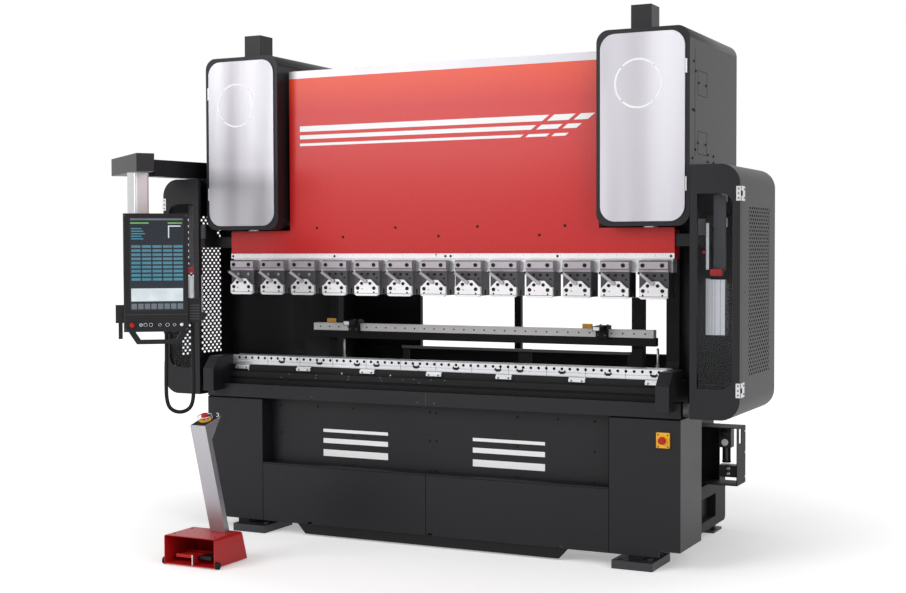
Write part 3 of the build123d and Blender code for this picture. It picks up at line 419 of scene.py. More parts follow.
# Near-black for seams, folds, gaps and holes: painted shade in place of shadowed openings.
painted_shade_black = paint("painted_shade_black", (0.0015, 0.0015, 0.0016), 0.9, gloss=0.1)
dark_metal = brushed("dark_steel", (0.06, 0.058, 0.064), deep, 0.42)
# Tower doors: the upright bands of tone are painted reflections on the brushed sheet.
door_metal_painted_reflection = brushed("brushed_sheet_painted_reflection", (0.43, 0.42, 0.45), upright, 0.38, 0.4, 0.8, 0.06, (3.0, 3.0, 0.25))
rail_metal = brushed("ground_steel", (0.66, 0.67, 0.69), level, 0.3)
ruler_metal = brushed("ruler_steel", (0.80, 0.79, 0.80), level, 0.4, 0.05, 0.3)
jaw_metal = brushed("jaw_steel", (0.66, 0.65, 0.67), level, 0.36)
plate_metal = brushed("plate_steel", (0.34, 0.31, 0.34), level, 0.4)
alloy = brushed("drawn_alloy", (0.70, 0.70, 0.72), upright, 0.4)
column_metal = brushed("column_alloy", (0.44, 0.43, 0.46), upright, 0.42)
carriers = carrier_metal("carrier_alloy", (0.62, 0.61, 0.63))
bolt_metal = brushed("bolt_steel", (0.10, 0.10, 0.11), deep, 0.35)
pane = glass("clear_pane")
screen_back = lit("screen_back", (0.004, 0.008, 0.016), 1.0)
screen_white = lit("screen_white", (0.72, 0.80, 0.84), 0.9)
screen_cyan = lit("screen_cyan", (0.05, 0.22, 0.30), 1.0)
screen_green = lit("screen_green", (0.18, 0.48, 0.12), 0.9)
screen_grey = lit("screen_grey", (0.16, 0.19, 0.22), 0.8)

node_materials = {
    black: (
        "apron_strip arm_bracket column_covers cover_door_left cover_door_right lower_front_panels"
        " pendant_arm pendant_link table_ends top_ducts towers upper_front_panel"
    ),
    black_plain: (
        "cover_stays gauge_beam gauge_carriage gauge_finger_left gauge_finger_right kick_plate lower_beam"
        " pendant_swivel rear_base_boxes rear_frame rear_panel rear_upper_cover side_frames table_beam"
        " utility_bracket"
    ),
    black_covers: "side_covers",
    dark_metal: "air_unit gauge_rails holder_bodies levelling_feet",
    red_with_painted_top_light: "ram_plate",
    red_small: "pedal_shell pedal_down stop_buttons",
    yellow: "stop_boxes",
    plastic: "pendant_panel pendant_handles pedal_up",
    rubber: "pedal_wheels pendant_cord",
    door_metal_painted_reflection: "tower_doors",
    rail_metal: "die_clamps die_rail drive_rods holder_rail",
    ruler_metal: "ram_ruler",
    silver: "gauge_rail",
    jaw_metal: "cover_hinges holder_jaws",
    plate_metal: "clamp_levers holder_plates",
    alloy: "pendant_mast",
    column_metal: "pedal_column ram_top_trim",
    carriers: "guard_carriers",
    pane: "door_window_left door_window_right",
}
softened = (
    "apron_strip column_covers lower_front_panels pedal_column pendant_arm pendant_link pendant_panel"
    " table_ends top_ducts tower_doors towers upper_front_panel"
)


def dress_nodes():
    """Give every node its material, and the large housings their rounded edges."""
    for material, names in node_materials.items():
        for name in names.split():
            mesh = nodes[name].data
            mesh.materials.clear()
            mesh.materials.append(material)
    for name in softened.split():
        weld = nodes[name].modifiers.new("weld", "WELD")
        weld.merge_threshold = 0.00002
        edge = nodes[name].modifiers.new("edge", "BEVEL")
        edge.width = 1.6 * MM
        edge.segments = 2
        edge.limit_method = "ANGLE"
        edge.angle_limit = math.radians(40)
        edge.harden_normals = True


# Towers

ring_places = {1: (1141.0, 2345.0), -1: (-1190.0, 2345.0)}
ring_radius = 121.0
ring_width = 10.0
ring_height = 0.8
ring_half_arc = 42
tower_seam_y = -382.0
tower_seam_z = (1997.0, 2512.0)
access_frames = ((2288.0, 2408.0), (2003.0, 2115.0))
access_y = (-334.0, -181.0)
tower_screws = (
    (-400, 2444), (-367, 2400), (-317, 2348), (-199, 2345), (-414, 2212), (-390, 2210), (-331, 2058),
    (-205, 2056), (-372, 2024), (-420, 1980), (-161, 2009), (-65, 2007), (-161, 1975), (-64, 1975),
)
tower_hinges = ((2383.0, 2450.0), (1824.0, 1891.0))
tower_hinge_x = 1377
tower_pin_x = 1382
skirt_x, skirt_y, skirt_z = (927, 1395), (-280, -240), (1620, 1658)
seam_half = 0.9
frame_width = 1.6


def dress_towers():
    """Rings on the doors, hinges, seams and access frames drawn as painted shade lines, and screws."""
    rings, hinges, lines, screws, skirts = (Piece() for _ in range(5))
    for side in sides:
        x, z = ring_places[side]
        for quarter in range(4):
            middle = 90 * quarter
            start, end = middle - ring_half_arc, middle + ring_half_arc
            rings.arc(ring_radius, ring_width, ring_height, start, end, front(x, tower_door_face, z))
        for low, high in tower_hinges:
            length = high - low
            at = front(side * tower_hinge_x, tower_door_face + 7, (low + high) / 2)
            hinges.block((-4, 4), (-length / 2, length / 2), (0, 4), at, 1.5)
            pin = [(3, 0), (3, length), (0, length + 1)]
            hinges.turn(pin, top(side * tower_pin_x, tower_door_face + 5, low), 12)
        skirts.block(across(side, *skirt_x), skirt_y, skirt_z)
        # Seams and access-frame outlines are near-black strips: painted shade in the gaps between panels.
        wall = flank(side, tower_side, 0, 0)
        seam = side * tower_seam_y
        lines.block((seam - seam_half, seam + seam_half), tower_seam_z, (0, seam_height), wall)
        for low, high in access_frames:
            near, far = sorted((side * access_y[0], side * access_y[1]))
            for start in (near, far - frame_width):
                lines.block((start, start + frame_width), (low, high), (0, seam_height), wall)
            for height in (low, high - frame_width):
                lines.block((near, far), (height, height + frame_width), (0, seam_height), wall)
        for y, height in tower_screws:
            screws.turn(screw_shape(6.5), flank(side, tower_side, y, height), 14)
    rings.done("tower_rings", "machine", white)
    hinges.done("tower_door_hinges", "machine", jaw_metal, "silver_steel")
    lines.done("tower_seam_shade", "machine", painted_shade_black, "black_paint")
    skirts.done("tower_skirts", "machine", black_plain, "black_paint")
    screws.done("tower_screws", "machine", black_plain, "black_paint")


# Ram

ram_stripes = ((2208.0, 30.0, 600.0), (2163.0, 22.0, 540.0), (2122.0, 14.0, 480.0))
stripe_start = -837.0
stripe_slant = 1.3
stripe_gap = 28.0
short_stripes = (115.0, 75.0)
ram_screws = ((-732, 1666), (-244, 1664), (238, 1665), (724, 1665), (-567, 1616), (12, 1617), (585, 1619))
disc_x, disc_z, disc_radius = 7, 2416, 42
shoulder_x, shoulder_z, shoulder_depth = (906, 1294), (1640, 1652), 18
top_line_x, top_line_z = (-905, 905), (2484, 2490)
ruler_low, ruler_top = 1499.0, 1525.0
tick_pitch = 10
tick_reach = 128
ruler_screws = (-1282.0, -619.0, 55.0, 85.0, 685.0, 1278.0)


def slanted(piece, start, end, low, high, square_start=False):
    """One stripe with slanted ends."""
    lean = (high - low) * stripe_slant
    first = start if square_start else start + lean
    outline = [(start, low), (end, low), (end + lean, high), (first, high)]
    piece.slab(outline, 0, film, front(0, ram_face, 0))


def dress_ram():
    """Stripes, the blanking disc, screws, and the ruler with its marks."""
    stripes, screws, ticks, marks, trim, shoulders = (Piece() for _ in range(6))
    for middle, height, end in ram_stripes:
        low, high = middle - height / 2, middle + height / 2
        slanted(stripes, stripe_start, end, low, high, True)
        start = end + stripe_gap
        for length in short_stripes:
            slanted(stripes, start, start + length, low, high)
            start += length + stripe_gap
    stripes.done("ram_stripes", "ram", white)
    disc = Piece()
    disc.turn([(disc_radius, 0), (disc_radius, film), (0, film)], front(disc_x, ram_face, disc_z), 48)
    disc.done("ram_disc", "ram", red_with_painted_top_light, "red_paint")
    for x, z in ram_screws:
        screws.turn(screw_shape(7), front(x, ram_face, z), 14)
    for x in ruler_screws:
        screws.turn(screw_shape(6.5, 0.4), front(x, ruler_face, ruler_low + 13), 12)
    screws.done("ram_screws", "ram", black_plain, "dark_steel")
    at = front(0, ruler_face, 0)
    for i in range(-tick_reach, tick_reach + 1):
        length = 14 if i % 10 == 0 else (10 if i % 5 == 0 else 6)
        x = i * tick_pitch
        ticks.block((x - 0.5, x + 0.5), (ruler_top - length, ruler_top), (0, 0.3), at)
    ticks.done("ruler_ticks", "ram", charcoal)
    pointer = [(-5, ruler_top), (0, ruler_low + 8), (5, ruler_top)]
    marks.slab(pointer, 0, film, at)
    marks.done("ruler_centre_mark", "ram", red_small)
    for side in sides:
        shoulders.block(across(side, *shoulder_x), (ram_face, ram_face + shoulder_depth), shoulder_z)
    shoulders.done("ram_shoulders", "ram", red_with_painted_top_light, "red_paint")
    trim.block(top_line_x, top_line_z, (0, 1.2), front(0, ram_face, 0))
    trim.done("ram_top_line", "ram", column_metal)


# Punch holders: positions from each holder's left edge, and heights

plate_bolts = ((21.0, 1466.0), (120.0, 1466.0))
early_bolts = ((46.0, 1413.0, 8.0), (112.0, 1413.0, 8.0))
late_bolts = (
    (39.0, 1417.0, 7.0), (77.0, 1417.0, 7.0), (115.0, 1417.0, 7.0), (39.0, 1396.0, 4.0), (132.0, 1396.0, 4.0),
)
early_holders = 3
jaw_bolts = ((48.0, 1367.0, 8.6), (99.0, 1367.0, 8.6), (24.0, 1342.0, 9.6), (123.0, 1342.0, 9.6))
jaw_pins = ((24.0, 1320.0, 4.5), (123.0, 1320.0, 4.5))
jaw_groove = (1312.8, 1315.2)
plate_groove = (1446.0, 1448.5)
mark_x, mark_z = 51.0, 1338.0
lever_tip = (20.0, -462.0, 1428.0)


def dress_holders():
    """Bolts, pins, grooves, marks and lever grips of the thirteen holders."""
    bolts, sockets, grooves, marks, grips = (Piece() for _ in range(5))
    for i in range(holder_count):
        edge = (i - (holder_count - 1) / 2) * holder_pitch - holder_width / 2
        for x, z in plate_bolts:
            sockets.turn(bolt_shape(10, 5), front(edge + x, plate_face, z), 18)
        early = i < early_holders
        for x, z, radius in early_bolts if early else late_bolts:
            (bolts if early else sockets).turn(bolt_shape(radius, 5), front(edge + x, holder_face, z), 16)
        for x, z, radius in jaw_bolts:
            sockets.turn(bolt_shape(radius, 4), front(edge + x, jaw_face, z), 18)
        for x, z, radius in jaw_pins:
            sockets.turn(screw_shape(radius), front(edge + x, jaw_face, z), 12)
        grooves.block((edge + 4, edge + 149), jaw_groove, (0, mark_height), front(0, jaw_face, 0))
        grooves.block((edge + 1, edge + 149), plate_groove, (0, mark_height), front(0, plate_face, 0))
        marks.turn([(3.2, 0), (3.2, 1.2), (0, 1.6)], front(edge + mark_x, jaw_face, mark_z), 14)
        tip = (edge + lever_tip[0], lever_tip[1] - 2, lever_tip[2])
        grips.turn(knob_shape(6, 9), surface(tip, (1, 0, 0.4), (0, 0.5, 1)), 16)
    bolts.done("holder_body_bolts", "ram", plate_metal, "silver_steel")
    sockets.done("holder_sockets", "ram", black_plain, "dark_steel")
    grooves.done("holder_grooves", "ram", charcoal)
    marks.done("holder_marks", "ram", red_small)
    grips.done("lever_grips", "ram", plastic, "black_plastic")


# Table

rail_hole_pitch = 42.3
rail_hole_count = 60
rail_seam_pitch = 209.2
rail_seam_shift = 8
rail_seam_z = (909, 959)
rail_top, rail_back = 960, -375
rail_hole_shift = 21.0
rail_hole_z = 946.0
rail_end = 1262.0
hole_shade_disc = [(7.5, 0), (7.5, 0.4), (0, 0.4)]
rail_keys = (-946, -704, -467, -347, -108, 126, 366, 489, 719, 964, 1201)
clamp_pitch, clamp_shift = 400, 7.0
clamp_face, clamp_screw_z = -429, 891
ledge_face, ledge_limit = -440, 866
recess_face, recess_z = -415, 879
ledge_screws = (
    (-927, 845), (-875, 869), (-701, 873), (-706, 849), (-498, 874), (-501, 850), (-304, 872), (-295, 851),
    (-170, 860), (-103, 874), (-70, 849), (0, 868), (79, 874),
)
recess_screws = (-1158.0, -555.0, -256.0)
apron_screws = ((-1328, 757), (-687, 754), (-45, 753), (51, 753))


def dress_table():
    """Painted shade discs for the die rail's holes, its seams and keys, and the screws of its clamps and the
    table.
    """
    holes, seams, keys, screws, bright = (Piece() for _ in range(5))
    rail = front(0, rail_face, 0)
    # The rail's holes are flat near-black discs: painted shade in place of the holes' shaded insides.
    for i in range(rail_hole_count):
        x = (i - (rail_hole_count - 1) / 2) * rail_hole_pitch + rail_hole_shift
        if x < rail_end:
            holes.turn(hole_shade_disc, front(x, rail_face, rail_hole_z), 16)
    for i in range(-6, 6):
        x = rail_seam_shift + i * rail_seam_pitch
        seams.block((x - 0.8, x + 0.8), rail_seam_z, (0, mark_height), rail)
        seams.block((-0.8, 0.8), (rail_face, rail_back), (0, mark_height), top(x, 0, rail_top))
    for x in rail_keys:
        keys.block((x - 19, x + 19), (925, 933), (0, 2.5), rail, 2)
        keys.block((x - 12, x + 12), (920, 925), (0, 2.5), rail)
        for end in (-15, 15):
            keys.block((x + end - 3, x + end + 3), (933, 938), (0, 2.5), rail)
    for i in range(-3, 4):
        for offset in (-28, 28):
            x = i * clamp_pitch + clamp_shift + offset
            screws.turn(bolt_shape(4.5, 3), front(x, clamp_face, clamp_screw_z), 14)
    for x, z in ledge_screws:
        screws.turn(screw_shape(5), front(x, ledge_face, min(z, ledge_limit)), 12)
    for x in recess_screws:
        bright.turn(screw_shape(4.5), front(x, recess_face, recess_z), 12)
    for x, z in apron_screws:
        screws.turn(screw_shape(5), front(x, column_face, z), 12)
    seams.block((1.2, 2.8), (736, 807), (0, mark_height), front(0, column_face, 0))
    holes.done("rail_hole_shade", "machine", painted_shade_black, "black_paint")
    seams.done("rail_seams", "machine", charcoal)
    keys.done("rail_keys", "machine", black_plain, "black_paint")
    screws.done("table_screws", "machine", bolt_metal, "dark_steel")
    bright.done("recess_screws", "machine", jaw_metal, "silver_steel")


# Front panels

panel_bars = ((566.0, 17.0), (511.0, 26.0), (445.0, 36.0))
bar_groups = ((-669.0, -269.0), (231.0, 634.0))
panel_screws = (
    (-941, 693), (-704, 693), (-482, 693), (-18, 693), (-941, 541), (-481, 544), (-19, 545),
    (-942, 391), (-482, 389), (-19, 388), (19, 693), (482, 693), (704, 693), (900, 693),
    (19, 545), (481, 544), (900, 541), (19, 388), (482, 389), (900, 387),
)
column_screws = ((-478, 700), (-481, 462), (-481, 150))
stop_screws = ((1261, 658), (1309, 657), (1310, 601), (1261, 600))
stop_face = -521.0
column_inner = 1005
kick_folds = ((-1003, -1.6), (1.6, 1003))
kick_fold_z = (375, 377)
column_folds = (((1005, 1008), (62, 731)), ((1008, 1368), (727, 731)))
apron_gap_shade = ((1010, 1368), (-500, -450), (730.5, 735.5))


def dress_front():
    """White bars, panel screws, and painted shade in the folds of the kick plate and column covers and in the
    gap below the apron.
    """
    bars, screws, shade_lines = Piece(), Piece(), Piece()
    for middle, height in panel_bars:
        for start, end in bar_groups:
            low, high = middle - height / 2, middle + height / 2
            bars.block((start, end), (low, high), (0, film), front(0, panel_face, 0))
    for x, z in panel_screws:
        screws.turn(screw_shape(6), front(x, panel_face, z), 14)
    for side in sides:
        for y, z in column_screws:
            screws.turn(screw_shape(5), surface((side * column_inner, y, z), (0, -side, 0), (0, 0, 1)), 12)
        for x, z in stop_screws:
            screws.turn(screw_shape(3.5), front(side * x, stop_face, z), 12)
    # Fold lines and the gap below the apron are near-black strips and blocks: painted shade.
    at = front(0, column_face, 0)
    for fold in kick_folds:
        shade_lines.block(fold, kick_fold_z, (0, seam_height), at)
    for side in sides:
        for x, z in column_folds:
            shade_lines.block(across(side, *x), z, (0, mark_height), at)
        x, y, z = apron_gap_shade
        shade_lines.block(across(side, *x), y, z)
    bars.done("panel_bars", "machine", white)
    screws.done("panel_screws", "machine", black_plain, "black_paint")
    shade_lines.done("panel_fold_shade", "machine", painted_shade_black, "black_paint")


# Side covers and their doors

hinge_heights = (884.0, 1804.0)
hinge_x, leaf_thickness = 1649, 1.6
hinge_outside, hinge_outside_y = 1660, -462
window_lines_x, window_z, window_face = (1451.0, 1619.0), (960, 1735), -509.5


def dress_covers():
    """Hinge leaves and screws, the window's inner frame and the covers' outer screws."""
    for side in sides:
        name = "left" if side < 0 else "right"
        leaves, screws, frame_line = Piece(), Piece(), Piece()
        for height in hinge_heights:
            at = front(side * hinge_x, cover_face, height)
            leaves.block((-11, 11), (-34, 34), (0, leaf_thickness), at, 1.5)
            for step in (-22, 0, 22):
                place = front(side * hinge_x, cover_face - leaf_thickness, height + step)
                screws.turn(screw_shape(4), place, 12)
        for x in window_lines_x:
            edges = (side * x - 1, side * x + 1)
            frame_line.block(edges, window_z, (0, seam_height), front(0, window_face, 0))
        leaves.done(f"door_leaves_{name}", f"door_{name}", jaw_metal, "silver_steel")
        screws.done(f"door_screws_{name}", f"door_{name}", bolt_metal, "dark_steel")
        frame_line.done(f"window_lines_{name}", f"door_{name}", charcoal)
    outside = Piece()
    for side in sides:
        for height in hinge_heights:
            for step in (-20, 20):
                place = flank(side, hinge_outside, hinge_outside_y, height + step)
                outside.turn(screw_shape(4.5), place, 12)
        for y in (-430, 110):
            for z in (860, 1342, 1824):
                outside.turn(screw_shape(4), flank(side, cover_side, y, z), 12)
    outside.done("cover_screws", "machine", bolt_metal, "dark_steel")


# Laser guard on the ram's ends, seen through the windows

guard_face = -440
scale_x, scale_z = (1471, 1485), (1448, 1669)
scale_first, scale_pitch, scale_count = 1453, 10, 22
guard_knob = (1462, 1531)
guard_clamp = ((1492, 1551), (1418, 1451), (-22, 10))
guard_plates = (((1500, 1560), (1440, 1800), (-30, -24), 3), ((1422, 1469), (1612, 1689), (0, 8), 2))
profile_seams, profile_z = (1500, 1514, 1540), (1139, 1398)
comb_back, comb_z, comb_depth = (1563.5, 1570), (1137, 1392), (-20, 0)
comb_teeth, comb_first, comb_pitch, comb_count = (1570, 1583), 1145, 16, 15


def dress_guard():
    """Scale, marker, clamp, back plate and comb beside each upright profile."""
    pale, reds, plates, combs, lines = (Piece() for _ in range(5))
    at = front(0, guard_face, 0)
    for side in sides:
        pale.block(across(side, *scale_x), scale_z, (0, 1.2), at)
        for i in range(scale_count):
            z = scale_first + i * scale_pitch
            lines.block(across(side, scale_x[0], 1479 if i % 5 else 1484), (z, z + 1.2), (1.2, 1.6), at)
        x, z = guard_knob
        reds.turn(knob_shape(8, 9), front(side * x, guard_face, z), 18)
        x, z, depth = guard_clamp
        reds.block(across(side, *x), z, depth, at, 2)
        for x, z, depth, chamfer in guard_plates:
            plates.block(across(side, *x), z, depth, at, chamfer)
        lines.turn(screw_shape(4), front(side * 1521, guard_face - 10, 1434), 12)
        for x in profile_seams:
            lines.block(across(side, x, x + 1.6), profile_z, (0, seam_height), at)
        combs.block(across(side, *comb_back), comb_z, comb_depth, at)
        for i in range(comb_count):
            z = comb_first + comb_pitch * i
            combs.block(across(side, *comb_teeth), (z, z + 8), comb_depth, at)
    pale.done("guard_scales", "ram", white)
    reds.done("guard_clamps", "ram", red_small, "red_paint", 0.8)
    plates.done("guard_plates", "ram", charcoal, None, 0.8)
    combs.done("guard_combs", "ram", charcoal, "black_plastic")
    lines.done("guard_lines", "ram", charcoal)


# Back gauge

gauge_blocks, gauge_block_y, gauge_block_z = ((-979, -914), (620, 676)), (130, 144), (1096, 1146)
brackets_x, bracket_y, bracket_z = ((241, 319), (873, 948), (-481, -441)), (140, 154), (910, 1000)
cable_bar = ((-481, 899), (124, 140), (985, 1000))
post_shape = [(10, 0), (10, 24), (7, 24), (7, 108), (5, 112), (0, 112)]
posts_x, post_y, post_z = (-886, 1032), 170, 910
gauge_bolt_pitch, gauge_bolt_reach = 62, 16
finger_x = 757


def dress_gauge():
    """End stops, rail bolts, brackets, cable bar, posts and the fingers' stops."""
    blocks, brackets, bar, posts, holes = (Piece() for _ in range(5))
    for x in gauge_blocks:
        blocks.block(x, gauge_block_y, gauge_block_z, chamfer=2)
    for x in brackets_x:
        brackets.block(x, bracket_y, bracket_z, chamfer=3)
    bar.block(*cable_bar, chamfer=3)
    for x in posts_x:
        posts.turn(post_shape, top(x, post_y, post_z), 18)
    for i in range(-gauge_bolt_reach, gauge_bolt_reach + 1):
        holes.turn([(5, 0), (5, 0.2), (0, 0.2)], front(i * gauge_bolt_pitch, 80, 1101), 12)
    blocks.done("gauge_blocks", "gauge_height", yellow, "yellow_plastic")
    holes.done("gauge_rail_bolts", "gauge_height", bolt_metal, "dark_steel")
    brackets.done("gauge_brackets", "gauge_depth", black_plain, "black_paint")
    bar.done("gauge_cable_bar", "gauge_depth", charcoal, None, 1.0)
    posts.done("gauge_posts", "gauge_depth", rail_metal, "silver_steel")
    for side, name in ((-1, "left"), (1, "right")):
        stops, caps = Piece(), Piece()
        x = side * finger_x
        stops.block((x - 18, x + 18), (1119, 1139), (0, 4), front(0, -20, 0), 3)
        for offset in (-20, 20):
            caps.turn(bolt_shape(6, 5), top(x + offset, 100, 1142), 14)
            caps.turn(bolt_shape(5, 3), front(x + offset, 55, 1092), 14)
        stops.done(f"finger_stop_{name}", f"finger_{name}", rail_metal, "silver_steel", 0.8)
        caps.done(f"finger_bolts_{name}", f"finger_{name}", bolt_metal, "dark_steel")


# Pendant: drawn in upright planes along its panel, x across the panel and y as the height

mast = (-1384.8, -1086.1)
panel_angle = math.radians(-52.0)
panel_reach = 172.0
cord_reach = 121.0
cord_radius = 10.0
cord_points = (
    (138.0, 1117.0), (138.0, 1000.0), (133.5, 880.0), (136.0, 747.8), (175.8, 708.0),
    (232.2, 708.0), (272.0, 747.8), (274.5, 880.0), (272.0, 1000.0), (272.0, 1163.0),
)
arm_top = 2044.0
control_height = 1165.0
controls = ((10, 7), (33, 8), (60, 8), (105, 6), (143, 8), (179, 6), (215, 7))
stop_x = -34
ear_reach = 150
arm_caps = (("root", "arm", (-1480, -45)), ("elbow", "link", (-1600, -793)))


def pendant(reach):
    """The upright plane of the pendant at a distance from its mast."""
    out = Vector((math.cos(panel_angle), math.sin(panel_angle), 0))
    origin = Vector((*mast, 0)) + out * reach
    return surface(origin, (-math.sin(panel_angle), math.cos(panel_angle), 0), (0, 0, 1))


def make_cord():
    """The free cord, one hanging loop from the panel's underside to its right ear."""
    at = pendant(cord_reach)
    points = [at @ Vector((x, z, 0)) * MM for x, z in cord_points]
    curve = bpy.data.curves.new("pendant_cord_line", "CURVE")
    curve.dimensions = "3D"
    curve.bevel_depth = cord_radius * MM
    curve.bevel_resolution = 5
    curve.use_fill_caps = True
    line = curve.splines.new("NURBS")
    line.points.add(len(points) - 1)
    for point, place in zip(line.points, points):
        point.co = (*place, 1)
    line.order_u = 3
    line.use_endpoint_u = True
    line.resolution_u = 16
    curve.materials.append(rubber)
    piece = added("pendant_cord_piece", curve)
    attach(piece, "panel")
    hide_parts("pendant_cord")


def dress_screen():
    """A plain display: a header, a drawing area, a table of cells and a row of keys."""
    at = pendant(panel_reach)
    back, pale, cyan, green, grey = (Piece() for _ in range(5))
    left, right, low, high = -43.0, 229.0, 1239.0, 1715.0
    flat, raised = (1.0, 1.3), (1.3, 1.6)
    back.block((left, right), (low, high), (0, 1.0), at, 2)
    grey.block((left + 4, right - 4), (high - 14, high - 5), flat, at)
    green.block((left + 4, left + 96), (high - 32, high - 25), flat, at)
    green.block((right - 80, right - 8), (high - 32, high - 25), flat, at)
    for i in range(5):
        line = high - 60 - 13 * i
        cyan.block((left + 8, left + 60 + 9 * (i % 3)), (line, line + 6), flat, at)
    pale.slab([(150, 1610), (156, 1610), (156, 1668), (214, 1668), (214, 1674), (150, 1674)], 1.0, 1.3, at)
    for row in range(9):
        for column in range(5):
            x, z = left + 8 + 53 * column, 1560 - 21 * row
            cyan.block((x, x + 46), (z, z + 13), flat, at)
            if (row + column) % 3 == 0:
                grey.block((x + 6, x + 34), (z + 4, z + 8), raised, at)
    pale.block((left + 6, right - 6), (1286, 1352), flat, at)
    for i in range(8):
        grey.block((left + 7 + 33 * i, left + 34 + 33 * i), (1246, 1274), flat, at, 2)
    back.done("screen", "panel", screen_back)
    for name, piece, material in (
        ("screen_pale", pale, screen_white), ("screen_cells", cyan, screen_cyan),
        ("screen_green_rows", green, screen_green), ("screen_keys", grey, screen_grey),
    ):
        piece.done(name, "panel", material)


def dress_pendant():
    """The control row, the frame line, ear details and the arm's covers."""
    at = pendant(panel_reach)
    keys, reds, rims, lines, bolts, blue, pale = (Piece() for _ in range(7))
    reds.turn(knob_shape(13, 20), at @ Matrix.Translation((stop_x, control_height, 0)), 24)
    caps = {0: blue, len(controls) - 1: pale}
    for i, (x, radius) in enumerate(controls):
        spot = at @ Matrix.Translation((x, control_height, 0))
        rims.turn([(radius + 1.5, 0), (radius + 1.5, 1.6), (radius + 0.5, 2.2), (0, 2.2)], spot, 24)
        caps.get(i, keys).turn(knob_shape(radius, 8), spot, 20)
    lines.block((-68, 244), (1217, 1219), (0, film), at)
    for x in (-66, 242):
        for z in (1142, 1724):
            bolts.turn(screw_shape(4), at @ Matrix.Translation((x, z, 0)), 12)
    for step in range(6):
        z = 1190 + 14 * step
        lines.block((258, 306), (z, z + 5), (0, film), pendant(ear_reach))
    keys.done("pendant_keys", "panel", plastic, "black_plastic")
    reds.done("pendant_stop", "panel", red_small, "red_plastic")
    blue.done("pendant_start_key", "panel", screen_cyan)
    pale.done("pendant_end_key", "panel", white)
    rims.done("pendant_key_rims", "panel", alloy, "silver_alloy")
    lines.done("pendant_lines", "panel", charcoal)
    bolts.done("pendant_screws", "panel", bolt_metal, "dark_steel")
    for name, body, place in arm_caps:
        cap = Piece()
        cap.turn([(24, 0), (24, 4), (20, 7), (0, 7)], top(*place, arm_top), 28)
        cap.done(f"arm_cap_{name}", body, black_plain, "black_paint")


# Pedal unit: drawn from its own origin

pedal_at = Matrix.Translation((-826.0, -1308.0, 0))
console_rise = math.atan2(35.0, 131.0)
console_at = pedal_at @ Matrix.Translation((52.0, -44.5, 713.5)) @ Matrix.Rotation(console_rise, 4, "X")
guard_radius, guard_foot, guard_lift = 36, 34.5, 24
treads = (("pedal_down", -106, 2, red_small, "red_paint"), ("pedal_up", 27, 93, rubber, "black_plastic"))
rib_first, rib_pitch, rib_count = -56, 9, 9


def dress_pedal():
    """Tread ribs, the divider's face, screws and the console's plate, guard and hook."""
    plate, guard, divider, screws, hook = (Piece() for _ in range(5))
    plate.block((-40, 40), (-62, 62), (0, 1.5), console_at, 6)
    lifted = console_at @ Matrix.Translation((0, 0, guard_lift))
    for start in (0, 90, 180, 270):
        guard.arc(guard_radius, 3, 3, start, start + 90, lifted, 12)
        lean = math.radians(start + 45)
        foot = Matrix.Translation((guard_foot * math.cos(lean), guard_foot * math.sin(lean), 1))
        guard.turn([(1.6, 0), (1.6, guard_lift), (0, guard_lift)], console_at @ foot, 8)
    edge = console_at @ Matrix.Translation((34, 54, 11)) @ Matrix.Rotation(math.pi / 2, 4, "Y")
    hook.arc(11, 3.5, 3.5, -60, 200, edge, 16)
    divider.block((12.4, 16.6), (-113, -109), (10, 61), pedal_at, 0.4)
    for x in (-120, 120):
        for y in (-70, 70):
            screws.turn(screw_shape(5), pedal_at @ Matrix.Translation((x, y, 149)), 12)
    plate.done("console_plate", "machine", black_plain, "black_paint")
    guard.done("console_guard", "machine", jaw_metal, "silver_steel")
    hook.done("console_hook", "machine", white)
    divider.done("pedal_divider_face", "machine", white)
    screws.done("pedal_screws", "machine", bolt_metal, "dark_steel")
    for name, start, end, material, slot_name in treads:
        ribs = Piece()
        for i in range(rib_count):
            y = rib_first + rib_pitch * i
            ribs.block((start, end), (y, y + 3.5), (42, 44), pedal_at)
        ribs.done(f"{name}_ribs", name, material, slot_name)


# Air unit

air_face = 293
fitting_shape = [(9, 0), (9, 8), (7, 9), (7, 18), (4, 18), (4, 12), (0, 12)]


def dress_air_unit():
    """Dial, knob, fittings and bowl of the service unit."""
    dark, pale, metal = Piece(), Piece(), Piece()
    dark.turn(knob_shape(20, 30), front(1360, air_face, 575), 24)
    pale.turn([(18, 0), (18, 6), (15, 7.5), (0, 7.5)], front(1360, air_face, 528), 28)
    for z in (365, 392):
        metal.turn(fitting_shape, front(1380, air_face, z), 6)
    for z in (340, 470, 580):
        metal.turn(screw_shape(6), flank(1, 1440, 390, z), 12)
    hanging = top(1360, 325, 428) @ Matrix.Rotation(math.pi, 4, "X")
    dark.turn([(24, 0), (24, 8), (21, 10), (0, 10)], hanging, 24)
    dark.done("regulator_knob", "machine", plastic, "black_plastic")
    pale.done("regulator_dial", "machine", white)
    metal.done("air_fittings", "machine", rail_metal, "silver_steel")


# Studio

camera_place = Vector((3.4424, -7.1463, 1.5507))
camera_yaw, camera_pitch, camera_roll = 0.459, -0.033, -0.003
focal_pixels = 1448.0
image_width = 906.0
sensor = 36.0
ambient = 0.5
gloss_turn, dark_gloss = (-0.5, 0.1), 0.3
floor_reach, floor_height = 60.0, -0.001
# The floor's glow rises with distance from the middle: painted shade around the machine.
floor_glow, floor_fade = (0.31, 0.64), (1.5, 3.0)
lamps = (
    ("key", (-4.0, -7.5, 4.6), (0, 0, 1.2), 4.5, 330),
    ("fill", (6.5, -4.0, 3.8), (1, 0, 1.2), 4.0, 140),
)


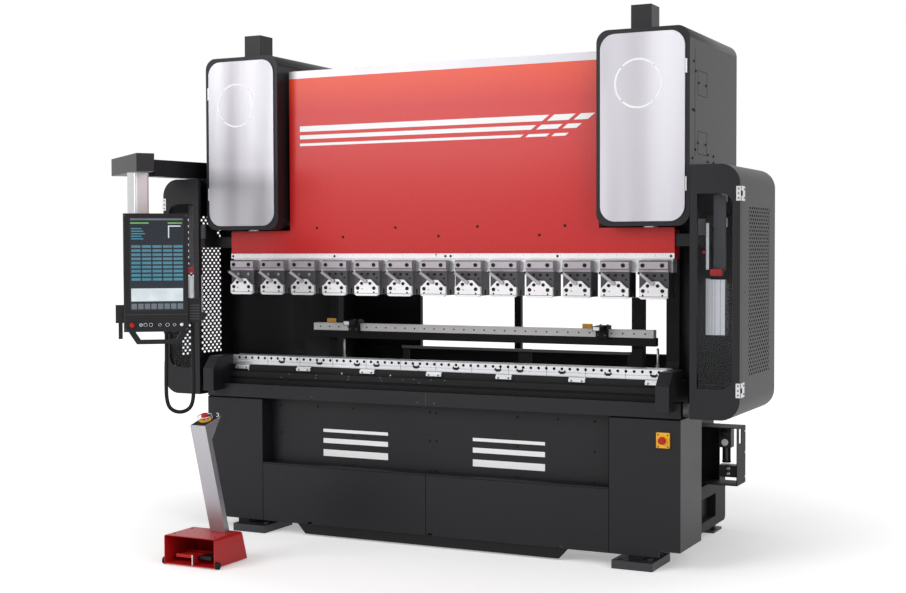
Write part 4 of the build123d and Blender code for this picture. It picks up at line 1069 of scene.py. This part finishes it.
def make_camera():
    """The photograph's viewpoint."""
    ahead = Vector((
        -math.sin(camera_yaw) * math.cos(camera_pitch), math.cos(camera_yaw) * math.cos(camera_pitch),
        math.sin(camera_pitch),
    ))
    right = Vector((math.cos(camera_yaw), math.sin(camera_yaw), 0))
    up = right.cross(ahead)
    c, s = math.cos(camera_roll), math.sin(camera_roll)
    right, up = c * right + s * up, c * up - s * right
    data = bpy.data.cameras.new("camera")
    data.sensor_width = sensor
    data.lens = sensor * focal_pixels / image_width
    camera = added("camera", data)
    rows = [(right[i], up[i], -ahead[i], camera_place[i]) for i in range(3)]
    camera.matrix_world = Matrix((*rows, (0, 0, 0, 1)))
    bpy.context.scene.camera = camera


def make_lamp(name, place, target, size, power):
    """A soft square lamp aimed at a point."""
    data = bpy.data.lights.new(name, "AREA")
    data.size = size
    data.energy = power
    lamp = added(name, data)
    lamp.location = place
    lamp.rotation_euler = (Vector(target) - Vector(place)).to_track_quat("-Z", "Y").to_euler()


def seen_directly(tree):
    """1 for camera, mirror and glass rays."""
    path = tree.nodes.new("ShaderNodeLightPath")
    total = calculate(tree, "ADD", path.outputs["Is Camera Ray"], path.outputs["Is Glossy Ray"])
    total = calculate(tree, "ADD", total, path.outputs["Is Transmission Ray"])
    return calculate(tree, "MINIMUM", total, 1.0)


def make_world():
    """White where it is seen, darker in gloss from the dark half of the studio, softer as a light."""
    world = bpy.data.worlds.new("studio")
    bpy.context.scene.world = world
    world.use_nodes = True
    tree = world.node_tree
    background = tree.nodes["Background"]
    background.inputs["Color"].default_value = (1, 1, 1, 1)
    split = tree.nodes.new("ShaderNodeSeparateXYZ")
    place = tree.nodes.new("ShaderNodeTexCoord").outputs["Generated"]
    tree.links.new(place, split.inputs["Vector"])
    depth = spread(tree, split.outputs["Y"], dark_gloss, 1.0, *gloss_turn)
    path = tree.nodes.new("ShaderNodeLightPath")
    straight = calculate(tree, "MAXIMUM", path.outputs["Is Camera Ray"], path.outputs["Is Transmission Ray"])
    gloss = calculate(tree, "MULTIPLY", path.outputs["Is Glossy Ray"], depth)
    soft = calculate(tree, "MULTIPLY", path.outputs["Is Diffuse Ray"], ambient)
    strength = calculate(tree, "MAXIMUM", straight, calculate(tree, "MAXIMUM", gloss, soft))
    tree.links.new(strength, background.inputs["Strength"])


def make_floor():
    """A pale floor that keeps the shadow and is otherwise white, with painted shade: its glow is weaker near
    the middle, so the floor is darker around the machine.
    """
    material, tree, main, place = shader("floor", 0.9)
    tone = ramp(tree, noise(tree, place, 0.8), shades((0.9, 0.9, 0.9), 0.01))
    tree.links.new(tone, main.inputs["Base Color"])
    main.inputs["Specular IOR Level"].default_value = 0.1
    glow = tree.nodes.new("ShaderNodeEmission")
    away = tree.nodes.new("ShaderNodeVectorMath")
    away.operation = "LENGTH"
    tree.links.new(place, away.inputs[0])
    # Painted shade: less glow near the middle, so the floor is darker around the machine.
    glow_with_painted_shade = spread(tree, away.outputs["Value"], *floor_glow, *floor_fade)
    strength = calculate(tree, "MULTIPLY", seen_directly(tree), glow_with_painted_shade)
    tree.links.new(strength, glow.inputs["Strength"])
    both = tree.nodes.new("ShaderNodeAddShader")
    tree.links.new(main.outputs["BSDF"], both.inputs[0])
    tree.links.new(glow.outputs["Emission"], both.inputs[1])
    tree.links.new(both.outputs["Shader"], tree.nodes["Material Output"].inputs["Surface"])
    mesh = bpy.data.meshes.new("floor")
    turns = ((-1, -1), (1, -1), (1, 1), (-1, 1))
    corners = [(x * floor_reach, y * floor_reach, 0) for x, y in turns]
    mesh.from_pydata(corners, [], [(0, 1, 2, 3)])
    mesh.materials.append(material)
    floor = added("floor", mesh)
    floor.location = (0, 0, floor_height)


make_camera()
make_cord()
dress_nodes()
dress_towers()
dress_ram()
dress_holders()
dress_table()
dress_front()
dress_covers()
dress_guard()
dress_gauge()
dress_screen()
dress_pendant()
dress_pedal()
dress_air_unit()
make_world()
make_floor()
for lamp in lamps:
    make_lamp(*lamp)
bpy.context.scene.view_settings.view_transform = "Standard"
